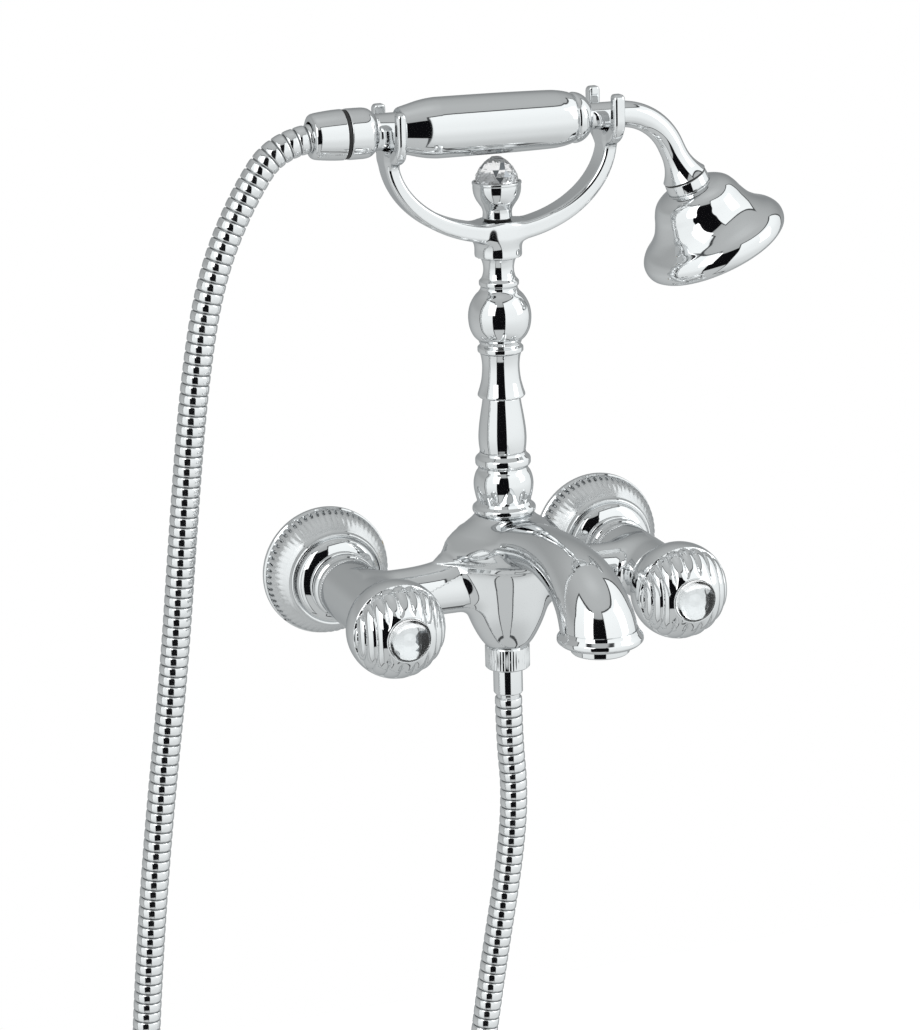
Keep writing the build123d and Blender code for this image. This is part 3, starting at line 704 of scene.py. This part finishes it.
# Knobs: a ball with upright reeds on its front, a bezel and a clear crystal over a cut foil
knob_back = 93.2
knob_middle = 110.4
knob_radius = 24.5
knob_depth = 22.6
reed_ring = 23.7
reed_step = radians(16.4)
reed_edge = acos(reed_ring / knob_radius)
reed_depth = 1.15
ball_angles = np.linspace(-0.86, 1.085, 161)
crystal_seat = 130.6


def reeds(angles, profile):
    """Upright reeds over the knob's front, closer together at its sides, with rounded ends on a ring."""
    radius, height = profile[None, :, 0], profile[None, :, 1]
    tilt = np.arcsin(np.clip((height - knob_middle) / knob_depth, -1, 1))
    from_ring = (tilt - reed_edge) * knob_radius
    across = radius * np.cos(angles)[:, None]
    phase = np.arcsin(np.clip(across / reed_ring, -1, 1)) / reed_step
    crown = np.sqrt(unit(1 - (2 * np.abs(phase - np.round(phase))) ** 2))
    end = unit((from_ring - 0.3 - 1.4 * (1 - crown)) / 1.8)
    risen = np.sqrt(1 - (1 - end) ** 2)
    sunk = unit(from_ring / 0.8) * unit((radius - 11.8) / 3.0)
    depth = reed_depth * sunk * (crown * risen - 1.0)
    return depth * np.cos(tilt), depth * np.sin(tilt)


def knob(name, place):
    ball = [(knob_radius * cos(angle), knob_middle + knob_depth * sin(angle)) for angle in ball_angles]
    profile = [(5.0, knob_back), (15.6, knob_back), *ball, (11.4, crystal_seat), (11.1, crystal_seat)]
    points, faces = surface_of_turning(np.array(profile), 480, reeds)
    return add_mesh(name, placed(points, place), faces, chrome, 50.0)


# The foils' darker facets are painted dark reflection. They lie to the right of a line, nearer to the rim on
# the right-hand knob
for side, valve, middle, painted_reflection_start in (("left", left_valve, -half_spacing, 3.6),
                                         ("right", right_valve, half_spacing, 7.0)):
    body = f"{side}_handle"
    dress(knob(f"{side}_lobed_knob", valve), body, "chrome", f"{side}_knob")
    turned(f"{side}_crystal_ring", valve, [
        (9.7, 128.8), (11.2, 128.8, 0.3), (11.2, 130.7, 0.2), (10.9, 130.9, 0.1), (10.7, 130.7, 0.1),
        (10.65, 129),
    ], body, f"{side}_bezel", around=96)
    turned(f"{side}_clear_button", valve, [
        (0, 129.9), (10.6, 129.9, 0.2), (10.6, 130.6),
        [(10.6, 130.7), (10, 131.8), (8.4, 132.8), (5.7, 133.7), (2.8, 134.2), (0, 134.3)],
    ], body, f"{side}_crystal", slot="crystal", around=96)
    foil = faceted_dome(f"{side}_mirror_foil", valve, [
        (10.4, 128.4), (10.4, 129.8), (8.2, 129.55), (5.8, 129.3), (3.2, 129.1),
    ], 14, backing)
    x, _, z = face_centres(foil).T
    second_material(foil, painted_facet_reflection, (x - middle > painted_reflection_start) & (z > -6.0) & (z < 4.5))
    dress(foil, body, "crystal")


# Smooth solids: a distance function per form, joined softly, and a mesh of where it is zero
def soft_union(first, second, blend):
    """The smaller of two distances, with a fillet where they meet."""
    mix = unit(0.5 + 0.5 * (second - first) / blend)
    return second + (first - second) * mix - blend * mix * (1 - mix)


def soft_cut(first, second, blend):
    """The first form without the second, with a rounded edge."""
    return -soft_union(-first, second, blend)


def ellipse_distance(across, up, half_across, half_up):
    """About the distance to an ellipse, exact enough near it."""
    inside = np.sqrt((across / half_across) ** 2 + (up / half_up) ** 2)
    slope = np.sqrt((across / half_across**2) ** 2 + (up / half_up**2) ** 2)
    return inside * (inside - 1) / np.maximum(slope, 1e-6)


def rounded_edge(first, second, rounding):
    """The distance to what lies inside both forms, its edge rounded."""
    first, second = first + rounding, second + rounding
    outside = np.hypot(np.maximum(first, 0), np.maximum(second, 0))
    return outside + np.minimum(np.maximum(first, second), 0) - rounding


def rounded_box(across, up, half_across, half_up, rounding):
    return rounded_edge(np.abs(across) - half_across, np.abs(up) - half_up, rounding)


def thick(flat, away, half, rounding):
    """A flat shape's distance drawn out to a thickness."""
    return rounded_edge(flat, np.abs(away) - half, rounding)


def zero_surface(name, low, high, step, distance, material):
    """A mesh of the points at which a distance function is zero, with exact normals.

    A coarse grid comes first, and the fine one is worked out only near the surface.
    """
    coarse = 4
    low = np.array(low, float)
    counts = np.ceil((np.array(high, float) - low) / step / coarse).astype(int) * coarse + 1
    axes = [low[i] + step * np.arange(0, counts[i], coarse) for i in range(3)]
    spots = np.stack(np.meshgrid(*axes, indexing="ij"), axis=-1)
    rough = in_chunks(distance, spots.reshape(-1, 3)).reshape(spots.shape[:3])

    def spread(values):
        for axis in range(3):
            values = np.repeat(values, coarse, axis)
        return values[:counts[0], :counts[1], :counts[2]]

    field = spread(rough)
    close = spread(np.abs(rough) < step * coarse * 2)
    where = np.argwhere(close)
    field[close] = in_chunks(distance, low + where * step)
    solid = field < 0
    total = np.zeros(tuple(counts - 1), int)
    corners = [(i, j, k) for i in (0, 1) for j in (0, 1) for k in (0, 1)]
    for i, j, k in corners:
        total += solid[i:counts[0] - 1 + i, j:counts[1] - 1 + j, k:counts[2] - 1 + k]
    cells = np.argwhere((total > 0) & (total < 8))
    index = np.full(tuple(counts - 1), -1)
    index[tuple(cells.T)] = np.arange(len(cells))
    value = {c: field[tuple((cells + np.array(c)).T)] for c in corners}
    points = np.zeros((len(cells), 3))
    hits = np.zeros(len(cells))
    for a in corners:
        for axis in range(3):
            if a[axis]:
                continue
            b = tuple(1 if i == axis else a[i] for i in range(3))
            crosses = (value[a] < 0) != (value[b] < 0)
            share = np.where(crosses, value[a] / np.where(crosses, value[a] - value[b], 1), 0)
            spot = np.array(a) + share[:, None] * (np.array(b) - np.array(a))
            points += np.where(crosses[:, None], spot, 0)
            hits += crosses
    points = low + (cells + points / hits[:, None]) * step
    for _ in range(3):
        slope = gradient(distance, points)
        size = np.maximum((slope**2).sum(1), 0.2)
        points = points - slope * (in_chunks(distance, points) / size)[:, None].clip(-step, step)
    faces = []
    for axis in range(3):
        b, c = (axis + 1) % 3, (axis + 2) % 3
        edges = np.argwhere(np.diff(solid, axis=axis))
        edges = edges[(edges[:, b] > 0) & (edges[:, c] > 0)]
        edges = edges[(edges[:, b] < counts[b] - 1) & (edges[:, c] < counts[c] - 1)]
        unit_b, unit_c = np.eye(3, dtype=int)[[b, c]]
        quad = [index[tuple(e.T)] for e in (edges - unit_b - unit_c, edges - unit_c, edges, edges - unit_b)]
        quad = np.stack(quad, axis=1)
        inward = solid[tuple(edges.T)]
        quad[~inward] = quad[~inward][:, ::-1]
        faces.append(quad)
    faces = np.concatenate(faces)
    piece = add_mesh(name, points, faces, material, 180.0)
    piece.data.normals_split_custom_set_from_vertices(directions(gradient(distance, points)).tolist())
    return piece


def in_chunks(distance, points, size=200000):
    return np.concatenate([distance(points[i:i + size]) for i in range(0, len(points), size)])


def gradient(distance, points, reach=0.05):
    found = []
    for axis in np.eye(3):
        ahead = in_chunks(distance, points + axis * reach)
        behind = in_chunks(distance, points - axis * reach)
        found.append((ahead - behind) / (2 * reach))
    return np.stack(found, axis=1)


def turned_distance(radius, height, profile):
    """The distance to a turned form whose radius is a smooth function of the height."""
    line = smooth_line(profile, 12)
    wide = np.interp(height, line[:, 1], line[:, 0])
    slope = np.gradient(line[:, 0], line[:, 1])
    lean = np.interp(height, line[:, 1], slope)
    side = (radius - wide) / np.sqrt(1 + lean**2)
    ends = np.maximum(line[0, 1] - height, height - line[-1, 1])
    return np.maximum(side, ends)


# Body: two barrels, two arms, a pear-shaped trunk with a tent-like top, and the spout
belly_profile = [
    (11, -31.3), (13.9, -27.4), (17.3, -21), (20.2, -13.7), (22.5, -5), (24.3, 3), (25.5, 10),
    (25.6, 16), (24, 21), (20, 26),
]
shoulder_profile = [
    (22, 16), (26.8, 18.4), (28.8, 21), (28.2, 24), (25, 27.8), (20.2, 31.8), (16.2, 35.2),
    (14.2, 38.4),
]
# Out from the column, height, half width, half thickness
spout_rows = [
    (-2, 23.6, 26, 7.4), (14, 25.6, 20.5, 9.4), (32, 29.4, 15.2, 11), (56, 32.6, 13.4, 12.2),
    (82, 32.2, 14.6, 14), (100, 28.8, 16.1, 15.6), (112.5, 22.8, 17.3, 16.8), (120, 15.4, 18.2, 17.8),
    (123.2, 8.4, 18.6, 18.3), (spout_out - column_out, 3, 18.7, 18.5),
]
spout_line = smooth_line([(column_out + out, *row) for out, *row in spout_rows], 16)
spout_way = np.gradient(spout_line[:, :2], axis=0)
spout_pace = np.linalg.norm(spout_way, axis=1)
spout_way /= spout_pace[:, None]
spout_turn = np.gradient(spout_way, axis=0)
arm_radius = 12.7
arm_height = 2.0
barrel_radius = 16.0
barrel_back = 41.8
barrel_front = 87.8
mouth_cut = 6.4
column_seat = 38.0
column_foot = 18.5


def spout_distance(x, out, z):
    """The distance to ellipses drawn along the spout's line, square to it."""
    found = np.full(len(x), 1e9)
    near = np.zeros(len(x))
    for i, row in enumerate(spout_line[::2]):
        gap = (out - row[0]) ** 2 + (z - row[1]) ** 2
        better = gap < found
        found[better] = gap[better]
        near[better] = 2 * i
    rows = np.arange(len(spout_line))

    def there(column):
        return np.interp(near, rows, column)

    def offset():
        return out - there(spout_line[:, 0]), z - there(spout_line[:, 1])

    for _ in range(4):
        from_out, from_up = offset()
        miss = from_out * there(spout_way[:, 0]) + from_up * there(spout_way[:, 1])
        curl = from_out * there(spout_turn[:, 0]) + from_up * there(spout_turn[:, 1])
        near = np.clip(near + np.clip(miss / np.maximum(there(spout_pace) - curl, 0.2), -3, 3), 0, rows[-1])
    from_out, from_up = offset()
    up = from_up * there(spout_way[:, 0]) - from_out * there(spout_way[:, 1])
    side = ellipse_distance(x, up, there(spout_line[:, 2]), there(spout_line[:, 3]))
    return np.maximum(np.maximum(side, mouth_cut - z), spout_line[0, 0] - out)


def body_distance(points):
    x, out, z = points[:, 0], -points[:, 1], points[:, 2]
    radius = np.hypot(x, out - column_out)
    shoulder = turned_distance(radius, z, shoulder_profile)
    arms = np.maximum(np.hypot(out - column_out, z - arm_height) - arm_radius, np.abs(x) - half_spacing)
    solid = soft_union(shoulder, arms, 15.0)
    solid = soft_union(solid, spout_distance(x, out, z), 10.0)
    solid = soft_union(solid, turned_distance(radius, z, belly_profile), 6.0)
    side = np.hypot(np.abs(x) - half_spacing, z)
    middle = (barrel_back + barrel_front) / 2
    barrels = thick(side - barrel_radius, out - middle, (barrel_front - barrel_back) / 2, 0.9)
    solid = soft_union(solid, barrels, 5.0)
    # Flat only under the column
    return np.maximum(solid, z - column_seat - 100.0 * (radius > column_foot))


body = zero_surface("body_shell", (-93, -212, -33), (93, -32, 52), 0.8, body_distance, cast_chrome)
dress(body, "mixer", "chrome", "body_casting")
turned("spout_bead", mouth, [
    (13, 5.9), (18.9, 5.9, 1), (20.6, 7.4, 1.2), (20.5, 9.4, 1.2), (18.9, 11.4, 0.8), (18.2, 13), (13, 13),
], "mixer")

# Aerator: a plain ring with an insert that has rings of small cells
turned("aerator_ring", mouth, [
    (11.35, 1.4), (13.4, 1.4, 0.2), (14, 2, 0.3), (14, 5.9, 0.1), (12.9, 6), (12.9, 9.8), (11.35, 9.8),
], "mixer", "aerator_housing")
cell_step = 1.8
cell_spokes = 32


def cell_profile():
    points = [(0.0, 9.8), (11.3, 9.8), (11.3, 2.6), (11.1, 2.4)]
    for ring in range(6, 0, -1):
        edge = ring * cell_step
        points += [(edge, 2.4), (edge - 0.05, 2.4), (edge - 1.3, 2.4), (edge - 1.35, 2.4)]
    return np.array(points + [(0.0, 2.4)])


def cells(angles, profile):
    """Deep cells between thin rings and thin spokes."""
    radius, height = profile[:, 0], profile[:, 1]
    share = np.mod(radius / cell_step, 1.0)
    open_ring = (share > 0.26) & (share < 0.98) & (height < 2.5) & (radius < 10.85) & (radius > 1.9)
    turn = np.mod(angles * cell_spokes / (2 * pi), 1.0)
    open_spoke = (turn > 0.2) & (turn < 0.8)
    depth = 1.2 * open_ring[None] * open_spoke[:, None]
    return depth * 0, depth


cell_points, cell_faces = surface_of_turning(cell_profile(), cell_spokes * 8, cells)
dress(add_mesh("aerator_cells", placed(cell_points, mouth), cell_faces, grey_plastic, 30.0),
      "mixer", "grey_plastic", "aerator_insert")

# Cradle: half an oval band on a boss, and a fork of two prongs at each end
cradle_centre = 224.0
prong_top = 247.0
boss_top = 187.0
boss_profile = [
    (11.4, 168.9), (11.7, 169.8), (11.7, 172.4), (11.7, 176), (11.4, 181), (10.9, 185), (10.2, 187.4),
]


def fork_distance(x, away, z, middle, floor):
    """A U across the band's end, well rounded below."""
    def box(half, low, high, rounding):
        return rounded_box(away, z - (low + high) / 2, half, (high - low) / 2, rounding)

    foot = floor - 6.4
    block = np.maximum(box(19.2, foot, prong_top, 2.6), box(19.2, foot, prong_top + 30, 13.0))
    slot = box(12.8, floor, prong_top + 20, 9.0)
    slim = 0.8 * unit(-x) * unit(-away / 4) * unit((z - cradle_centre) / 6.0)
    return thick(soft_cut(block, slot, 1.2), x - middle, 3.1 - slim, 2.0)


def cradle_distance(points):
    x, away, z = points[:, 0], points[:, 1] + cradle_out, points[:, 2]
    outer = ellipse_distance(x, z - cradle_centre, 60.4, 47.0)
    inner = ellipse_distance(x, z - cradle_centre, 53.6, 38.2)
    flat = soft_cut(outer, inner, 0.5)
    flat = np.maximum(flat, z - (cradle_centre + 3.0))
    solid = thick(flat, away - 1.6, 7.4 + 0.8 * unit(1 - np.abs(x) / 26.0), 2.4)
    for middle, floor in ((-56.0, 226.7), (56.0, 227.8)):
        solid = soft_union(solid, fork_distance(x, away, z, middle, floor), 3.5)
    radius = np.hypot(x, points[:, 1] + column_out)
    solid = soft_union(solid, turned_distance(radius, z, boss_profile), 5.0)
    return np.where(np.abs(x) < 13, np.maximum(solid, z - boss_top), solid)


dress(zero_surface("cradle_shell", (-63, -92, 165), (63, -47, 249), 0.6, cradle_distance, cast_chrome),
      "mixer", "chrome", "cradle")

# Column
column_pieces = {
    "column_base": [
        (5.2, 38), (14.2, 38, 0.3), (15.9, 39.4, 1.6), (15.9, 41.6, 1.6), (14.2, 43, 0.6),
        [(13.4, 44.4), (14.2, 47.4), (14.9, 51.4), (14.9, 55), (14, 58.6), (12.6, 61)],
        (12.3, 62.2, 0.3), (13.9, 63.6, 1.8), (13.9, 66.8, 1.8), (12, 68.6, 0.5), (11.6, 69.4, 0.3),
        (11.6, 70, 0.2), (5.2, 70),
    ],
    "column_vase": [
        (5.2, 70), (11.2, 70, 0.2),
        [(11.5, 70.6), (11.9, 74), (12, 78), (11.6, 83), (10.8, 88.6), (9.9, 94), (9.4, 97.4)],
        (9.2, 98), (5.2, 98),
    ],
    "column_spool": [
        (5.2, 98), (11.2, 98, 0.3), (11.9, 98.8, 0.4),
        [(11.8, 99.6), (10.9, 102.4), (9.9, 106.4), (9.4, 110.6), (9.3, 114.4), (9.7, 118), (10.3, 120.4)],
        (11.4, 121.2, 0.9), (11.4, 123.4, 0.9), (10.2, 124.4, 0.3), (10, 125, 0.2), (5.2, 125),
    ],
    "column_ball": [
        (5.2, 125), (10.2, 125, 0.3), (10.5, 125.8, 0.3),
        [(10.9, 126.8), (13.2, 129.2), (14.9, 132.8), (15.6, 137), (15.5, 141), (14.5, 145), (12.4, 148.8),
         (10.2, 151.2)],
        (9.3, 152.6, 0.6), (9.1, 153.8, 0.6), (9.9, 154.8, 0.9), (9.9, 156.6, 0.9), (8.8, 157.8, 0.4),
        [(8.3, 158.6), (7.7, 161), (7.6, 163.6), (8.1, 166.2), (8.8, 168)], (9.5, 168.4, 0.2), (9.5, 168.8),
        (5.2, 168.8),
    ],
}
for node, points in column_pieces.items():
    turned(f"{node}_polished", column, points, "mixer", node)

# Diverter knob: a polished cup on a neck, and a faceted crystal dome
turned("diverter_cup", column, [
    (0, 187.8), (6.8, 187.8, 0.2), (7.4, 188.2, 0.4),
    [(7.3, 188.8), (7.2, 190), (7.2, 191.2), (7.6, 192.8), (8.8, 194.8), (10.4, 197.2), (11.5, 200),
     (11.9, 202.6), (11.9, 204.6)],
    (12.2, 205, 0.3), (12.2, 206, 0.3), (11, 206.2, 0.2), (10.9, 203.2, 0.2), (0, 203.2),
], "diverter", "diverter_knob")
# A thin black ring in the gap under the diverter cup: painted shade in that gap
turned("finial_gap_shade", column, [
    (2.7, 187.1), (6.6, 187.1, 0.2), (6.6, 187.7, 0.2), (2.7, 187.7),
], "diverter", slot="black_rubber", around=64)
facets = faceted_dome("diverter_facets", column, [
    (10.7, 203.4), (10.8, 206.4), (10.2, 209.4), (8.4, 212.8), (5.6, 215.9), (2.4, 218.1),
], 16, cut_crystal)
z = face_centres(facets)[:, 2]
# Two facets in eleven get painted dark reflection, spread over the dome's middle rows
second_material(facets, painted_facet_reflection, (np.arange(len(z)) * 7 % 11 < 2) & (z > 208.0) & (z < 216.5))
dress(facets, "diverter", "crystal", "diverter_crystal")

# Hand shower
cone_nut = turned("tapered_cone_nut", handset, [
    (7.3, -96.5), (8.8, -96.5, 0.2),
    [(9.4, -96.4), (10.4, -95.8), (11, -94.4), (11.4, -91.8), (11.8, -88), (12.1, -84), (12.2, -81)],
    (12.2, -80.3, 0.3), (9.7, -80.2),
], "handset", "hose_cone_nut")
dark_ring = turned("dark_ring", handset, [
    (9.7, -80.1), (11.6, -80.1, 0.2), (12, -79.2, 0.3), (11.6, -78.3, 0.2), (9.7, -78.3),
], "handset", "cone_nut_ring", slot="black_rubber")
turned("tapered_connector", handset, [
    (4, -84), (9.5, -84, 0.2), (9.5, -78.2, 0.1), (12.2, -78.2, 0.5),
    [(12.3, -77.4), (12.3, -73), (12.2, -69.6), (11.7, -67.4), (10.6, -65.8), (9.4, -64.6), (8.9, -63)],
    (8.9, -51.6, 0.3), (5.3, -51.5),
], "handset", "handset_connector")
turned("grip_shell", handset, [
    (5.3, -51.5), (10.9, -51.5, 0.4),
    [(11.3, -50.6), (12.3, -46.6), (13.7, -41), (14.6, -35), (14.8, -28), (14.7, 0), (14.3, 24),
     (13.8, 31), (12.9, 35.4), (12.3, 37)],
    (11.6, 37.5), (8.6, 37.5),
], "handset", "handset_grip")
turned("grip_cap", handset, [
    (5.3, 37.5), (11.4, 37.5, 0.2),
    [(12.2, 38), (12.5, 39.2), (11.9, 41.8), (10.4, 44.2), (8.6, 45.8), (7.6, 46.4)],
    (5.3, 46.5),
], "handset", "grip_end_cap")

# Swan neck: a tube along two runs and a bend, flaring at its end
neck_start = 46.0
bend_radius = 30.0
head_angle = radians(64.5)
half_turn = tan(head_angle / 2)
bend_start = 82.6 - bend_radius * half_turn
run_out = 36.4 - bend_radius * half_turn
neck_radius = 6.5
flare_width = 4.6
flare_length = 15.0


def swan_neck():
    """The piece, and the place and direction of its end in the hand shower's frame."""
    straight = np.linspace(neck_start - bend_start, 0, 8)[:-1]
    bend = np.linspace(0, head_angle, 25)
    run = np.linspace(0, run_out, 22)[1:]
    turn = np.concatenate([0 * straight, bend, 0 * run + head_angle])
    along = np.concatenate([straight, 0 * bend, run])
    ahead = np.stack([np.sin(turn), 0 * turn, np.cos(turn)], axis=1)
    bent = bend_radius * np.stack([1 - np.cos(turn), 0 * turn, np.sin(turn)], axis=1)
    middle = bent + ahead * along[:, None] + [0, 0, bend_start]
    gone = distance_along(middle)
    left = gone[-1] - gone
    flare = unit(1 - left / flare_length)
    radius = neck_radius + flare_width * flare ** 2.4
    points, faces = tube_surface(middle, ahead, np.tile([0.0, 1.0, 0.0], (len(middle), 1)), radius, 64)
    piece = add_mesh("swan_neck_tube", placed(points, handset), faces, chrome, 60.0)
    return piece, middle[-1], ahead[-1]


swan_piece, head_start, head_way = swan_neck()
dress(swan_piece, "handset", "chrome", "swan_neck")
head_frame = handset @ frame_at(tuple(head_start), tuple(head_way), (cos(head_angle), 0, -sin(head_angle)))
turned("head_ring", head_frame, [
    (4, 1), (10.6, 1, 0.2), (10.9, 1.3, 0.2), (11.2, 5.6, 0.5), (11, 6.4, 0.3), (4, 6.4),
], "handset", "head_collar")
# A thin black ring, set in between the neck's flare and the head ring: painted shade in that joint
turned("head_gap_shade", head_frame, [
    (4.5, 0.03), (10.8, 0.03, 0.1), (10.8, 0.97, 0.1), (4.5, 0.97),
], "handset", slot="black_rubber", around=96)
turned("bell_shell", head_frame, [
    (4, 6.42), (11.4, 6.42, 0.2),
    [(11.6, 6.6), (13.2, 7), (16.6, 8.2), (19.8, 10.6), (22, 14.4), (23.6, 18.6), (26.4, 24),
     (30.6, 28.6), (34.8, 32), (37, 35.4), (37.4, 38.6), (36.6, 41.4), (35, 43)],
    (34.4, 43.4, 0.2), (33, 43.4, 0.3), (33, 40.4, 0.2), (4, 40.4),
], "handset", "spray_head")
turned("spray_face", head_frame, [
    (0, 40.45), (31.8, 40.45, 0.2), (31.8, 43, 0.6), (29.6, 43, 0.3), (29, 42.4, 0.3), (19.2, 42.4, 0.3),
    (18.6, 43, 0.3), (17.4, 43, 0.3), (16.8, 42.4, 0.3), (6.6, 42.4, 0.3), (6, 43, 0.3), (0, 43.2),
], "handset", "spray_plate")


def nozzle_tips():
    """Small rubber tips with a hole, in two rings on the spray face."""
    profile = rounded([(1.9, 42.3), (1.7, 42.9, 0.2), (1.2, 43.3, 0.2), (0.8, 43.3, 0.1), (0.8, 41.5),
                       (0, 41.5)], 3)
    points, faces = copies(*surface_of_turning(profile, 20), ring(12.0, 6, 0) + ring(24.0, 12, 0))
    return add_mesh("spray_tips", placed(points, head_frame), faces, black_rubber)


dress(nozzle_tips(), "handset", "black_rubber")

# Hose nut and ferrule
knurls = 48


def knurl(angles, profile):
    height = profile[:, 1]
    band = unit((height + 42.6) / 0.5) * unit((-32.4 - height) / 0.5)
    wave = 0.5 + 0.5 * np.cos(angles * knurls)
    depth = -0.45 * band[None] * wave[:, None]
    return depth, depth * 0


turned("knurled_nut", column, [
    (7.6, -43.5), (10.7, -43.5, 0.3), (11.4, -42.8, 0.3), (11.4, -38), (11.4, -32.2, 0.3), (10.8, -31.3, 0.2),
    (7.6, -31.3),
], "mixer", "hose_nut", around=knurls * 8, shift=knurl)
turned("smooth_ferrule", column, [
    (4.6, -57.3), (7.1, -57.3, 0.4), (7.5, -56.6, 0.4), (7.5, -43.5, 0.3), (4.6, -43),
], "mixer", "hose_ferrule")

# Every solid that still shows, or lies inside, gets its slot's material
slots = {part["node"]: part["material_slot"] for part in frame["record"]["subparts"]}
for name, solid in frame["nodes"].items():
    solid.data.materials.clear()
    solid.data.materials.append(slot_materials[slots[name]])
